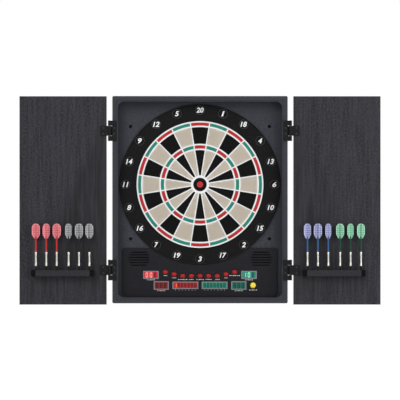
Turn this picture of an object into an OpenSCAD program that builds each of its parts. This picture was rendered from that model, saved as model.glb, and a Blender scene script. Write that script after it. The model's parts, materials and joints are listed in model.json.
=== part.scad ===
// Dart board cabinet: an electronic target in a moulded casing, behind two hinged doors.
// Millimetres. +X is right, +Z is up, the front faces -Y and the wall is the plane y = 0.
// The origin is the centre of the four wall screws, on the wall. Both doors are drawn open.

/* [Casing] */
// Width of the casing
case_w = 473; // [470:1:600]
// Height of the casing
case_h = 559; // [550:1:700]
// Depth of the casing, from the wall to the rim
case_d = 68; // [66:0.5:84]
// Height of the bull above the casing's bottom edge
bull_height = 320.5; // [318:0.5:330]
// Width of the rim round the recess
rim_w = 15; // [13:0.5:18]
// Width of the rim's raised outer band
rim_band_w = 12; // [11:0.5:12.5]
// Step down from the raised band to the rim's inner edge
rim_step = 1; // [0.4:0.1:1.4]
// Depth of the recess, from the rim to the panel
recess_d = 34; // [31:0.5:36]
// Thickness of the moulded walls
shell_t = 3; // [2:0.5:4]
// Radius of the casing's corners
case_corner_r = 4; // [2:0.5:8]
// Radius of the recess's corners
recess_corner_r = 16; // [6:0.5:24]
// Thickness of the rear cover
rear_t = 3; // [2.5:0.5:4]
// Radius of the posts that join the casing's halves
case_post_r = 5; // [4.5:0.1:5.5]

/* [Wall fixing] */
// Distance between the wall screws, across
wall_span_x = 376; // [366:1:390]
// Distance between the wall screws, up and down
wall_span_z = 304; // [296:1:310]
// Height of the wall screws' centre above the bull
wall_rise = 5; // [3:0.5:7]
// Diameter of a wall screw hole
wall_hole_d = 5.5; // [4:0.5:6.5]
// Diameter of the sunk seat for a wall screw's head
wall_seat_d = 9; // [8:0.5:11]
// Depth of that seat
wall_seat_depth = 6; // [3:0.5:10]
// Radius of the tube round a wall screw
wall_tube_r = 8; // [7:0.5:10]

/* [Target] */
// Radius of the inner bull
bull_r = 7.8; // [7:0.1:8.4]
// Outer radius of the outer bull
bull_outer_r = 18; // [16:0.5:19]
// Outer radius of the web's collar round the bull
collar_r = 24.8; // [22:0.1:27]
// Inner radius of the triple ring
triple_in = 97.7; // [90:0.1:99]
// Outer radius of the triple ring
triple_out = 105.8; // [104:0.1:112]
// Inner radius of the double ring
double_in = 159.8; // [150:0.1:162]
// Outer radius of the double ring
double_out = 167.4; // [166:0.1:168]
// Outer radius of the web
web_r = 171.5; // [171:0.1:176]
// Width of the web's round lines
web_t = 4; // [3:0.1:5]
// Width of the web's straight lines
bar_t = 3.2; // [2.6:0.1:4]
// Gap between a segment and the web
segment_gap = 0.4; // [0.2:0.05:0.6]
// Travel of the bull's segments when a dart hits
press_travel = 0.8; // [0.5:0.1:0.9]
// Depth of a segment
segment_d = 12.6; // [11:0.1:13]
// Step from the web's front down to a segment
segment_step = 0.4; // [0.2:0.1:1]
// Height of the web's front above the panel
web_rise = 7; // [5:0.5:8]
// Depth of the web's inner walls
web_d = 12; // [9:0.5:13]
// Thickness of the sensor mat
mat_t = 1; // [0.6:0.1:1.5]
// Thickness of the backing plate
backing_t = 6; // [4:0.5:8]
// Width of the flange round the web
flange_w = 12; // [10:0.5:14]

/* [Number ring] */
// Outer radius of the number ring
ring_r = 217; // [212:0.5:219]
// Thickness of the number ring
ring_t = 3; // [2:0.5:4]
// Height of the lip round the number ring
lip_h = 2; // [1:0.5:3]
// Width of that lip
lip_w = 1.6; // [1:0.1:2]
// Radius of the circle that the numbers stand on
number_r = 203; // [196:0.5:204]
// Radius of the dish round a number
dish_r = 12; // [8:0.5:12]
// Depth of that dish
dish_d = 0.6; // [0.2:0.1:1]

/* [Console] */
// Space between the console and the recess's side walls
console_side = 11.5; // [4:0.5:14]
// Space between the console and the recess's bottom wall
console_low = 2.5; // [1:0.5:3]
// Height of the console's top edge, from the bull
console_top = -171; // [-176:1:-160]
// Thickness of the console plate
console_t = 3; // [2:0.5:4]
// Distance between two red buttons
button_pitch = 23.4; // [19:0.2:24]
// Height of the middle row of buttons, from the bull
button_z = -247.6; // [-249:0.2:-246]
// Rise of the second button from each end
button_rise_inner = 4.6; // [2:0.2:6]
// Rise of the button at each end
button_rise_outer = 10.6; // [8:0.2:12]
// Width of a red button
button_w = 15; // [12:0.5:16]
// Height of a red button
button_h = 11.5; // [9:0.5:12]
// Radius of the yellow button
yellow_r = 8; // [6:0.5:9]
// Place of the yellow button, across
yellow_x = 143.6; // [141:0.2:148]
// How far a button stands out of the console
button_proud = 3; // [2:0.5:4]
// Travel of a button
button_travel = 1.5; // [1:0.1:1.8]
// Width of the silver frame round a display
bezel_w = 2.4; // [1.5:0.1:3]
// How far that frame stands out
bezel_proud = 1; // [0.5:0.1:2]
// Radius of a speaker grille
grille_r = 28.5; // [22:0.5:29]
// Place of a speaker, across
speaker_x = 165.5; // [162:0.5:170]
// Height of a speaker, from the bull
speaker_z = -201; // [-203:0.5:-199]
// Distance between two slots of a grille
slot_pitch = 7; // [5:0.5:9]
// Height of a slot
slot_h = 3; // [2:0.5:4]
// Number of slots in a grille
slot_count = 6; // [4:1:7]

/* [Doors] */
// Gap between the casing and an open door
hinge_gap = 15.4; // [14:0.2:18]
// Gap between the closed doors
centre_gap = 3; // [2:0.5:6]
// Thickness of a door
door_t = 12; // [9:0.5:18]
// How far the doors reach below the casing
door_drop = 3.5; // [0:0.5:5]
// How far the doors stop short of the casing's top edge
door_top_gap = 0.5; // [0:0.5:3]
// Space between the rim and a closed hinge leaf
leaf_gap = 0.5; // [0.3:0.1:1]
// Thickness of a hinge leaf
leaf_t = 3; // [2.4:0.1:4]
// Height of a hinge leaf
leaf_h = 27; // [22:0.5:30]
// How far a hinge leaf reaches over the door
leaf_reach = 17; // [14:0.5:19]
// Height of a hinge bracket, over both arms
bracket_h = 55; // [52:0.5:62]
// How far a bracket's base reaches in from the casing's edge
bracket_w = 11.5; // [10.5:0.5:11.5]
// Thickness of a bracket's base, sunk in the rim
bracket_t = 2; // [1.5:0.1:2.5]
// Radius of a hinge's barrel and of its bracket's arms
barrel_r = 3.9; // [3.4:0.1:4.2]
// Radius of a hinge pin
pin_r = 1.6; // [1.2:0.1:2]
// Height of the upper hinges, from the bull
hinge_high = 144.7; // [130:0.1:170]
// Height of the lower hinges, from the bull
hinge_low = -231; // [-245:0.1:-200]

/* [Dart racks] */
// Length of a dart rack
rack_l = 168; // [164:1:200]
// Height of a dart rack
rack_h = 16; // [14:0.5:20]
// Height of a rack's top, from the bull
rack_top = -231; // [-233:0.5:-229]
// How far a rack stands out of its door
rack_d = 22; // [20:0.5:23]
// Length of a rack's thicker end
rack_end_l = 11; // [8:0.5:12]
// How much thicker that end is, on each side
rack_end_proud = 0.6; // [0.2:0.1:1]
// Shift of the left rack from its door's middle, away from the casing
rack_shift_left = 0.5; // [-4:0.5:4]
// Shift of the right rack from its door's middle, away from the casing
rack_shift_right = -8; // [-8:0.5:4]
// Distance from a rack's end to its screw
rack_screw_in = 31; // [30:0.5:32]
// Distance from the door to a dart's axis
dart_out = 15; // [14.5:0.5:16]
// Distance between two darts
dart_pitch = 28; // [26.6:0.2:28]
// Extra space between the two sets of three darts
set_gap = 4; // [0:0.5:5]

/* [Darts] */
// Length of a dart's tip
tip_l = 25; // [22:0.5:30]
// Radius of a tip at its thick end
tip_r = 2.2; // [1.8:0.1:2.3]
// Radius of a tip at its point
point_r = 0.9; // [0.6:0.1:1.2]
// Length of a barrel
barrel_l = 38; // [30:1:46]
// Radius of a barrel at its ends
grip_r = 3.2; // [2.8:0.1:3.8]
// Radius of a barrel at its waist
waist_r = 2.8; // [2.2:0.1:2.8]
// Length of a shaft between barrel and flight
shaft_l = 36; // [28:1:46]
// Radius of a shaft
shaft_r = 2.2; // [1.8:0.1:2.6]
// Height of a flight
flight_h = 41; // [32:1:48]
// Reach of a flight's wing from the dart's axis
flight_r = 13; // [10:0.5:13]
// Thickness of a wing
wing_t = 0.6; // [0.4:0.1:1]
// How far a flight sits in the shaft's slots
flight_grip = 6; // [4:0.5:8]

/* [Fasteners] */
// Radius of a screw's shank
screw_r = 1.5; // [1.2:0.1:1.8]
// Radius of a screw's sunk head
head_r = 3; // [2.6:0.1:3.2]
// Depth of that head
head_h = 1.6; // [1.2:0.1:1.8]
// Clearance round a screw
screw_gap = 0.1; // [0.05:0.05:0.2]

/* [Hidden] */
RED_COUNT = 9;
DART_COUNT = 6;
SECTORS = 20;
LARGE_FN = 96;                               // sides of the large circles
SMALL_FN = 32;                               // sides of the darts' turned parts
$fn = 48;

LEFT = -1;
RIGHT = 1;
fit_gap = 0.3;     // between pieces that are put together by hand
run_gap = 0.05;    // round a turning pin
cut = 1;           // how far a cut runs past the solid that it opens
skirt_sink = 1;    // how far the web's skirt, flange and posts run into it

// Heights are measured from the bull, and "out" is the distance from the wall.
bull_z = -wall_rise;
case_low = -bull_height;
case_high = case_low + case_h;
half_w = case_w / 2;
recess_x = half_w - rim_w;
recess_low = case_low + rim_w;
recess_high = case_high - rim_w;
panel_out = case_d - recess_d;
panel_back = panel_out - shell_t;

// The target's layers, from the wall outwards.
web_front = panel_out + web_rise;
web_back = web_front - web_d;
segment_front = web_front - segment_step;
segment_back = segment_front - segment_d;
mat_clear = 0.15;                            // left between a pressed segment and the mat
mat_gap = press_travel + mat_clear;
mat_front = segment_back - mat_gap;
mat_back = mat_front - mat_t;
backing_back = mat_back - backing_t;
flange_r = web_r + flange_w;
backing_r = flange_r - fit_gap;
board_hole_r = flange_r + fit_gap;
sector = 360 / SECTORS;
board_screw_count = 8;
board_post_r = 4;
board_screw_r = web_r + flange_w / 2;
skirt_in_r = double_out + 2 * segment_gap;   // the web's skirt is thinner than its outer line
ring_screw_count = 5;
ring_screw_from = 2.5;                       // sectors from the right to the first ring screw
ring_screw_l = 5;

// The console's layers and outline.
console_out = panel_out + console_t;
console_x = recess_x - console_side;
console_bottom = recess_low + console_low;
console_r_low = 14;
console_r_high = 7;
opening_x = speaker_x + grille_r;            // the panel's window behind the displays
opening_top = -228;
opening_in = 10;                             // from the console's bottom edge to the opening
opening_low = console_bottom + opening_in;
window_t = 3;
window_proud = 0.5;
board_out = 18;                              // the control board's back
board_t = 1.6;
board_x = 166;
board_margin = 2;
board_top = opening_top - board_margin;
board_low = opening_low + board_margin;
board_front = board_out + board_t;
post_r = 4;
board_post_x = 158;
board_post_in = 5;
button_flange = 1.5;
button_flange_t = 1.5;
stem_r = 2;
switch_w = 6;
switch_h = 3.4;
switch_stem_r = 1.7;
switch_stem_h = 2;
switch_top = board_front + switch_h + switch_stem_h;
stem_back = switch_top + button_travel + fit_gap;

// Displays on the left half: [across, height from the bull, width, height, digits].
displays = [[132.6, -244.6, 42, 21.6, 3], [105, -273.2, 41, 23, 3], [39.5, -272.7, 70, 20, 7]];

// Hinges and doors.
axis_x = half_w + hinge_gap / 2;
axis_out = case_d + leaf_gap + leaf_t / 2;
door_w = (case_w - centre_gap) / 2;
door_x = axis_x + hinge_gap / 2;             // the door's hinged edge
door_face = axis_out - leaf_t / 2;           // the open door's inner face
door_low = case_low - door_drop;
door_high = case_high - door_top_gap;
pocket_out = case_d - bracket_t;
arm_h = (bracket_h - leaf_h) / 2 - fit_gap;
arm_front = axis_out + leaf_t / 2 - fit_gap; // stays behind the closed door
pin_head_r = 2.6;
pin_head_h = 1;
block_d = 16;                                // solid behind the brackets
block_margin = 4;
bracket_screw_y = 8;
bracket_screw_l = 14;
leaf_screw_y = 8;
leaf_screw_l = 12;
leaf_round = 4;
rack_screw_l = 30;
hinge_rows = [hinge_low, hinge_high];

// Racks and darts.
rack_low = rack_top - rack_h;
rack_floor_t = 1.7;
rack_floor = rack_low + rack_floor_t;
tip_end = rack_floor + fit_gap;
rack_hole_gap = 0.5;
rack_hole_r = tip_r + rack_hole_gap;
dart_axis_out = door_face + dart_out;
barrel_low = tip_end + tip_l + run_gap;
shaft_low = barrel_low + barrel_l + run_gap;
flight_low = shaft_low + shaft_l;
thread_r = 1.4;
thread_l = 6;
tip_flange_h = 1.6;
tip_flange_r = 2.6;
barrel_cone = 7;
barrel_edge = 1;                             // the barrel's rounded lower edge
turned_slope = 3;                            // how long a slope between two radii is
shaft_collar_r = 2.8;
shaft_collar_h = 5;
slot_gap = 0.1;
flight_steps = 12;
flight_foot = 0.28;                          // a wing's width at its foot, as a share
flight_top = 0.25;                           // and at its flat top
swell_end = 0.6;                             // the share of its height where a wing is widest
swell_power = 1.3;                           // how late it swells
round_start = 0.55;                          // the share of its height where its top rounds in
round_power = 2.6;                           // how square that rounding is
dart_turns = [12, 30, 4, 38, 8, 22, 26, 6, 40, 10, 34, 18];

// Shared shapes.

// Puts what is drawn in the face's own plane (x, height, out) where it belongs.
module on_face() {
    translate([0, 0, bull_z]) rotate([90, 0, 0]) children();
}

// A flat outline made solid between two distances from the wall.
module layer(from, to) {
    translate([0, 0, from]) linear_extrude(to - from) children();
}

// Draws for the right side, or mirrors it to the left one.
module on_side(side) {
    mirror([side == LEFT ? 1 : 0, 0, 0]) children();
}

module both_sides() {
    for (side = [LEFT, RIGHT]) on_side(side) children();
}

module at(points) {
    for (p = points) translate([p[0], p[1], 0]) children();
}

// A rectangle with its own radius for the lower and the upper corners.
module rounded(left, low, right, high, r_low, r_high) {
    translate([left, low + r_low]) square([right - left, high - low - r_low - r_high]);
    for (end = [[low, r_low, 1], [high, r_high, -1]]) if (end[1] > 0) {
        r = end[1];
        centre = end[0] + end[2] * r;
        translate([left + r, min(end[0], centre)]) square([right - left - 2 * r, r]);
        for (x = [left + r, right - r]) translate([x, centre]) circle(r);
    }
}

module box2(w, h) {
    translate([-w / 2, -h / 2]) square([w, h]);
}

// A button's outline: two round ends and a straight middle.
module oval(grow) {
    r = button_h / 2 + grow;
    reach = (button_w - button_h) / 2;
    for (x = [-reach, reach]) translate([x, 0]) circle(r);
    box2(2 * reach, 2 * r);
}

module annulus(r_in, r_out) {
    difference() {
        circle(r_out, $fn = LARGE_FN);
        circle(r_in, $fn = LARGE_FN);
    }
}

// A sunk screw whose head's top lies at zero and whose shank runs down from it.
module screw_body(length, gap) {
    translate([0, 0, -length - gap]) cylinder(r = screw_r + gap, h = length + gap);
    translate([0, 0, -head_h]) cylinder(r1 = screw_r + gap, r2 = head_r + gap, h = head_h);
}

module screw(length) {
    slot_w = 0.8;
    slot_d = 0.9;
    slot_l = head_r * 1.3;
    difference() {
        screw_body(length, 0);
        for (turn = [0, 90]) rotate(turn) translate([-slot_l / 2, -slot_w / 2, -slot_d])
            cube([slot_l, slot_w, slot_d + cut]);
    }
}

module screw_hole(length) {
    screw_body(length, screw_gap);
    cylinder(r = head_r + screw_gap, h = cut);
}

// The casing.

function rim_x() = half_w - rim_w / 2;
side_screw_low = 70;                         // above the lower hinge
side_screw_high = 60;                        // below the upper hinge
end_screw_in = 70;                           // in from the side screws' line
function rim_side_z() = [hinge_low + side_screw_low, hinge_high - side_screw_high];
case_screw_places = concat(
    [for (x = [-rim_x(), rim_x()]) for (z = rim_side_z()) [x, z]],
    [for (x = [-rim_x() + end_screw_in, rim_x() - end_screw_in])
        for (z = [case_low + rim_w / 2, case_high - rim_w / 2]) [x, z]]);
wall_screw_places = [for (x = [-1, 1]) for (z = [-1, 1])
    [x * wall_span_x / 2, wall_rise + z * wall_span_z / 2]];
board_post_places = [for (x = [-board_post_x, 0, board_post_x])
    for (z = [board_low + board_post_in, board_top - board_post_in]) [x, z]];
case_screw_l = 16;

module case_outline(inset) {
    r = max(case_corner_r - inset, 0.5);
    rounded(-half_w + inset, case_low + inset, half_w - inset, case_high - inset, r, r);
}

module recess_outline(grow) {
    r = recess_corner_r + grow;
    rounded(-recess_x - grow, recess_low - grow, recess_x + grow, recess_high + grow, r, r);
}

// The casing moulding: outer walls, stepped rim, recess walls and the panel behind the target.
module front_shell() color([0.24, 0.24, 0.28]) on_face() difference() {
    union() {
        layer(0, case_d) difference() {
            case_outline(0);
            case_outline(shell_t);
        }
        layer(case_d - rim_step - shell_t, case_d - rim_step) difference() {
            case_outline(shell_t / 2);
            recess_outline(0);
        }
        layer(case_d - rim_step - shell_t, case_d) difference() {
            case_outline(shell_t / 2);
            case_outline(rim_band_w);
        }
        layer(panel_back, case_d - rim_step) difference() {
            recess_outline(shell_t);
            recess_outline(0);
        }
        layer(panel_back, panel_out) recess_outline(shell_t / 2);
        at(case_screw_places) translate([0, 0, rear_t])
            cylinder(r = case_post_r, h = case_d - rim_step - rear_t - shell_t / 2);
        at(wall_screw_places) translate([0, 0, rear_t])
            cylinder(r = wall_tube_r, h = panel_out - rear_t - shell_t / 2);
        for (z = hinge_rows) both_sides()
            translate([half_w - rim_w, z - bracket_h / 2 - block_margin, case_d - rim_step - block_d])
                cube([rim_w - shell_t / 2, bracket_h + 2 * block_margin, block_d]);
    }
    layer(panel_back - cut, panel_out + cut) circle(board_hole_r, $fn = LARGE_FN);
    layer(panel_back - cut, panel_out + cut)
        rounded(-opening_x, opening_low, opening_x, opening_top, post_r, post_r);
    for (x = [-speaker_x, speaker_x]) translate([x, speaker_z, panel_back - cut])
        cylinder(r = grille_r + speaker_gap, h = shell_t + 2 * cut);
    at(wall_screw_places) {
        cylinder(d = wall_hole_d, h = case_d);
        translate([0, 0, panel_out - wall_seat_depth])
            cylinder(d = wall_seat_d, h = wall_seat_depth + cut);
    }
    at(case_screw_places) cylinder(r = screw_r + screw_gap, h = case_screw_l + cut);
    for (z = hinge_rows) both_sides() {
        translate([half_w - bracket_w - fit_gap, z - bracket_h / 2 - fit_gap, pocket_out])
            cube([bracket_w + fit_gap + cut, bracket_h + 2 * fit_gap, bracket_t + cut]);
        bracket_screw_places(z) translate([0, 0, -bracket_screw_l - cut])
            cylinder(r = screw_r + screw_gap, h = bracket_screw_l + cut);
    }
    ring_screw_places() translate([0, 0, panel_back]) rotate([180, 0, 0]) screw_hole(ring_screw_l);
    translate([socket_x, case_low, socket_out]) rotate([90, 0, 0])
        cylinder(r = socket_r + screw_gap, h = 4 * shell_t, center = true);
}

// The cover that closes the casing from behind and lies on the wall.
module rear_shell() color([0.16, 0.16, 0.17]) on_face() difference() {
    union() {
        layer(0, rear_t) case_outline(shell_t + fit_gap);
        at(board_post_places) cylinder(r = post_r, h = board_out);
    }
    at(wall_screw_places) translate([0, 0, -cut]) cylinder(d = wall_hole_d, h = rear_t + 2 * cut);
    at(case_screw_places) rotate([180, 0, 0]) screw_hole(case_screw_l);
    at(board_post_places) translate([0, 0, board_front]) screw_hole(board_screw_l);
}
board_screw_l = 12;

// The smooth plate under the target that carries grilles, displays and buttons.
module console_panel() color([0.16, 0.16, 0.18]) on_face() difference() {
    layer(panel_out, console_out) difference() {
        rounded(-console_x, console_bottom, console_x, console_top, console_r_low, console_r_high);
        circle(ring_r + fit_gap, $fn = LARGE_FN);
        for (x = [-speaker_x, speaker_x]) translate([x, speaker_z]) intersection() {
            circle(grille_r);
            for (i = [0:slot_count - 1])
                translate([-grille_r, (i - (slot_count - 1) / 2) * slot_pitch - slot_h / 2])
                    square([2 * grille_r, slot_h]);
        }
        for (i = [0:RED_COUNT - 1]) translate(red_place(i)) oval(fit_gap);
        translate([yellow_x, displays[2][1]]) circle(yellow_r + fit_gap);
        both_sides() for (d = displays) translate([d[0], d[1]])
            box2(d[2] - 2 * bezel_w + 2 * fit_gap, d[3] - 2 * bezel_w + 2 * fit_gap);
    }
}

// The target.

module ring_screw_places() {
    for (i = [0:ring_screw_count - 1]) rotate((ring_screw_from + i * SECTORS / ring_screw_count) * sector)
        translate([number_r, 0, 0]) children();
}

module board_screw_places() {
    for (i = [0:board_screw_count - 1]) rotate(i * 360 / board_screw_count + sector / 2)
        translate([board_screw_r, 0, 0]) children();
}

// The blind hole that a screw from behind turns into.
module ring_pilot() {
    translate([0, 0, panel_out - cut]) cylinder(r = screw_r + screw_gap, h = ring_t - dish_d + cut);
}

// The black ring with a dish for each number and a lip round its edge.
module number_ring() color([0.09, 0.09, 0.1]) on_face() {
    inner = web_r + fit_gap;
    face = panel_out + ring_t;
    difference() {
        rotate_extrude($fn = LARGE_FN) polygon([[inner, panel_out], [ring_r, panel_out],
            [ring_r, face + lip_h - lip_w / 2], [ring_r - lip_w / 2, face + lip_h],
            [ring_r - lip_w, face + lip_h], [ring_r - 2 * lip_w, face], [inner, face]]);
        for (i = [0:SECTORS - 1]) rotate(i * sector) translate([number_r - lip_w, 0, face - dish_d])
            cylinder(r = dish_r, h = dish_d + lip_h + cut);
        ring_screw_places() ring_pilot();
        board_screw_places() ring_pilot();
    }
}

// The spans between the web's walls, from the bull outwards: [inner radius, outer radius].
inner_single = [collar_r + segment_gap, triple_in - 2 * segment_gap - web_t];
triple = [triple_in, triple_out];
outer_single = [triple_out + 2 * segment_gap + web_t, double_in - 2 * segment_gap - web_t];
double = [double_in, double_out];

// The web's openings for one ring of segments: its band, parted by the straight lines.
module web_openings(span) {
    inner = span[0] - segment_gap;
    outer = span[1] + segment_gap;
    difference() {
        annulus(inner, outer);
        for (i = [0:SECTORS - 1]) rotate((i + 0.5) * sector)
            translate([inner - cut, -bar_t / 2]) square([outer - inner + 2 * cut, bar_t]);
    }
}

// The white grid that parts the segments, with a skirt that stands on the backing plate, and
// with a flange and screw posts behind the number ring.
module web() color([0.93, 0.93, 0.93]) on_face() difference() {
    union() {
        layer(web_back, web_front) difference() {
            circle(web_r, $fn = LARGE_FN);
            circle(bull_outer_r + segment_gap);
            for (span = [inner_single, triple, outer_single, double]) web_openings(span);
        }
        layer(mat_back, web_back + skirt_sink) annulus(skirt_in_r, web_r);
        layer(panel_back, panel_out) annulus(web_r - skirt_sink, flange_r);
        board_screw_places() translate([0, 0, mat_back])
            cylinder(r = board_post_r, h = panel_back - mat_back + skirt_sink);
    }
    board_screw_places() translate([0, 0, mat_back - cut])
        cylinder(r = screw_r + screw_gap, h = panel_out - mat_back + 2 * cut);
}

// Every second cell of one ring of segments; odd is 0 for the sector at the top.
module cells(span, odd) {
    difference() {
        for (i = [0:SECTORS / 2 - 1]) rotate(90 + (2 * i + odd - 0.5) * sector)
            rotate_extrude(angle = sector, $fn = LARGE_FN)
                translate([span[0], segment_back]) square([span[1] - span[0], segment_d]);
        for (i = [0:SECTORS - 1]) rotate((i + 0.5) * sector)
            translate([span[0] - cut, -bar_t / 2 - segment_gap, segment_back - cut])
                cube([span[1] - span[0] + 2 * cut, bar_t + 2 * segment_gap, segment_d + 2 * cut]);
    }
}

module singles_black() color([0.11, 0.11, 0.12]) on_face() {
    cells(inner_single, 0);
    cells(outer_single, 0);
}

module singles_cream() color([0.82, 0.77, 0.7]) on_face() {
    cells(inner_single, 1);
    cells(outer_single, 1);
}

module rings_red() color([0.75, 0.22, 0.22]) on_face() {
    cells(triple, 0);
    cells(double, 0);
}

module rings_green() color([0.18, 0.55, 0.47]) on_face() {
    cells(triple, 1);
    cells(double, 1);
}

module outer_bull() color([0.11, 0.11, 0.12]) on_face()
    layer(segment_back, segment_front) annulus(bull_r + segment_gap, bull_outer_r);

module inner_bull() color([0.75, 0.22, 0.22]) on_face()
    layer(segment_back, segment_front) circle(bull_r);

module sensor_mat() color([0.2, 0.3, 0.25]) on_face()
    layer(mat_back, mat_front) circle(double_out + segment_gap - fit_gap, $fn = LARGE_FN);

module backing_plate() color([0.5, 0.36, 0.22]) on_face() difference() {
    layer(backing_back, mat_back) circle(backing_r, $fn = LARGE_FN);
    board_screw_places() translate([0, 0, backing_back]) rotate([180, 0, 0])
        screw_hole(board_screw_reach);
}
board_screw_reach = panel_out - backing_back + ring_t - 2 * dish_d;

// The screws that join plate, web and ring, hold the ring to the panel, and hold the control board.
module board_screws() color([0.6, 0.6, 0.6]) on_face() {
    board_screw_places() translate([0, 0, backing_back]) rotate([180, 0, 0]) screw(board_screw_reach);
    ring_screw_places() translate([0, 0, panel_back]) rotate([180, 0, 0]) screw(ring_screw_l);
    at(board_post_places) translate([0, 0, board_front]) screw(board_screw_l);
}

// The electronics.

function red_place(i) = let (from_middle = abs(i - (RED_COUNT - 1) / 2))
    [(i - (RED_COUNT - 1) / 2) * button_pitch,
     button_z + (from_middle == 4 ? button_rise_outer : from_middle == 3 ? button_rise_inner : 0)];
yellow_place = [yellow_x, displays[2][1]];

module control_board() color([0.1, 0.32, 0.2]) on_face() {
    chips = [[-92, 22], [-30, 16], [28, 22], [88, 14]];
    chip_t = 2.4;
    chip_h = 12;
    middle = (board_low + board_top) / 2;
    difference() {
        layer(board_out, board_front)
            translate([-board_x, board_low]) square([2 * board_x, board_top - board_low]);
        at(board_post_places) translate([0, 0, board_front]) screw_hole(board_screw_l);
    }
    for (chip = chips) layer(board_out - chip_t, board_out)
        translate([chip[0], middle]) box2(chip[1], chip_h);
}

// The digit blocks that stand on the control board behind the windows.
module display_modules() color([0.13, 0.05, 0.05]) on_face()
    both_sides() for (d = displays) layer(board_front, console_out - window_t)
        translate([d[0], d[1]]) box2(d[2] - 4 * bezel_w, d[3] - 2 * bezel_w);

// The silver frames round the windows.
module display_bezels() color([0.72, 0.73, 0.75]) on_face()
    both_sides() for (d = displays) layer(console_out, console_out + bezel_proud)
        translate([d[0], d[1]]) difference() {
            rounded(-d[2] / 2, -d[3] / 2, d[2] / 2, d[3] / 2, bezel_w / 2, bezel_w / 2);
            box2(d[2] - 2 * bezel_w, d[3] - 2 * bezel_w);
        }

module windows(side) {
    front = console_out + window_proud;
    on_side(side) for (d = displays) layer(front - window_t, front)
        translate([d[0], d[1]]) box2(d[2] - 2 * bezel_w - fit_gap, d[3] - 2 * bezel_w - fit_gap);
}

module red_display_windows() color([0.8, 0.18, 0.2]) on_face() windows(LEFT);

module green_display_windows() color([0.15, 0.55, 0.48]) on_face() windows(RIGHT);

// A small push switch under each button.
module button_switches() color([0.2, 0.2, 0.2]) on_face()
    at(concat([for (i = [0:RED_COUNT - 1]) red_place(i)], [yellow_place])) {
        layer(board_front, board_front + switch_h) box2(switch_w, switch_w);
        translate([0, 0, board_front]) cylinder(r = switch_stem_r, h = switch_top - board_front);
    }

// A button cap: the outline's cap, a flange that stops it behind the console, and its stem.
module red_button(i) color([0.85, 0.22, 0.2]) on_face() translate(red_place(i)) {
    layer(panel_out - fit_gap - button_flange_t, console_out + button_proud) oval(0);
    layer(panel_out - fit_gap - button_flange_t, panel_out - fit_gap) oval(button_flange);
    layer(stem_back, panel_out - button_flange_t) circle(stem_r);
}

module yellow_button() color([0.95, 0.85, 0.25]) on_face() translate(yellow_place) {
    layer(panel_out - fit_gap - button_flange_t, console_out + button_proud) circle(yellow_r);
    layer(panel_out - fit_gap - button_flange_t, panel_out - fit_gap) circle(yellow_r + button_flange);
    layer(stem_back, panel_out - button_flange_t) circle(stem_r);
}

// Speakers: a frame on the console's back, a cone, and a magnet.
speaker_d = 22;
basket_d = 14;
basket_t = 1.5;
speaker_gap = 1;

module speakers() color([0.25, 0.25, 0.26]) on_face()
    for (x = [-speaker_x, speaker_x]) translate([x, speaker_z, 0]) {
        magnet_r = grille_r / 2;
        magnet_back = panel_out - speaker_d;
        basket_back = panel_out - basket_d;
        rotate_extrude() polygon([[0, magnet_back], [magnet_r, magnet_back], [magnet_r, basket_back],
            [grille_r, panel_out - 2 * basket_t], [grille_r, panel_out],
            [grille_r - 2 * basket_t, panel_out], [grille_r - 2 * basket_t, panel_out - basket_t],
            [magnet_r / 2, basket_back + basket_t], [0, basket_back + 2 * basket_t]]);
    }

// The power inlet in the casing's bottom wall.
socket_x = 180;
socket_out = 18;
socket_r = 4;
socket_bore_r = 2.8;
socket_bore_l = 9;
socket_pin_r = 1.05;
socket_body = 12;
socket_body_l = 10;
socket_lip = 1.2;
socket_lip_r = 6;

module dc_socket() color([0.12, 0.12, 0.12]) on_face()
    translate([socket_x, case_low, socket_out]) rotate([90, 0, 0]) {
        bore_end = socket_lip - socket_bore_l;
        difference() {
            union() {
                cylinder(r = socket_lip_r, h = socket_lip);
                translate([0, 0, -shell_t]) cylinder(r = socket_r, h = shell_t);
                translate([-socket_body / 2, -socket_body / 2, -shell_t - socket_body_l])
                    cube([socket_body, socket_body, socket_body_l]);
            }
            translate([0, 0, bore_end]) cylinder(r = socket_bore_r, h = socket_bore_l + cut);
        }
        translate([0, 0, bore_end - cut]) cylinder(r = socket_pin_r, h = socket_bore_l);
    }

module case_screws() color([0.6, 0.6, 0.6]) on_face()
    at(case_screw_places) rotate([180, 0, 0]) screw(case_screw_l);

// The hinges.

module bracket_screw_places(z) {
    for (y = [-bracket_screw_y, bracket_screw_y])
        translate([half_w - bracket_w / 2, z + y, case_d]) children();
}

// Two-armed brackets sunk in the rim; each arm ends in an eye round the pin.
module hinge_brackets(side) color([0.13, 0.13, 0.14]) on_face() on_side(side)
    for (z = hinge_rows) difference() {
        union() {
            translate([half_w - bracket_w, z - bracket_h / 2, pocket_out])
                cube([bracket_w, bracket_h, bracket_t]);
            for (low = [z - bracket_h / 2, z + bracket_h / 2 - arm_h]) {
                translate([half_w - bracket_w, low, pocket_out])
                    cube([axis_x - half_w + bracket_w, arm_h, arm_front - pocket_out]);
                translate([axis_x, low + arm_h, axis_out]) rotate([90, 0, 0])
                    cylinder(r = barrel_r, h = arm_h);
            }
        }
        bracket_screw_places(z) screw_hole(bracket_screw_l);
        translate([axis_x, z + bracket_h / 2 + cut, axis_out]) rotate([90, 0, 0])
            cylinder(r = pin_r + run_gap, h = bracket_h + 2 * cut);
    }

module bracket_screws() color([0.3, 0.3, 0.3]) on_face()
    for (z = hinge_rows) both_sides() bracket_screw_places(z) screw(bracket_screw_l - cut);

module leaf_screw_places(z) {
    for (y = [-leaf_screw_y, leaf_screw_y])
        translate([door_x + leaf_reach / 2, z + y, door_face + leaf_t]) children();
}

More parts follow.
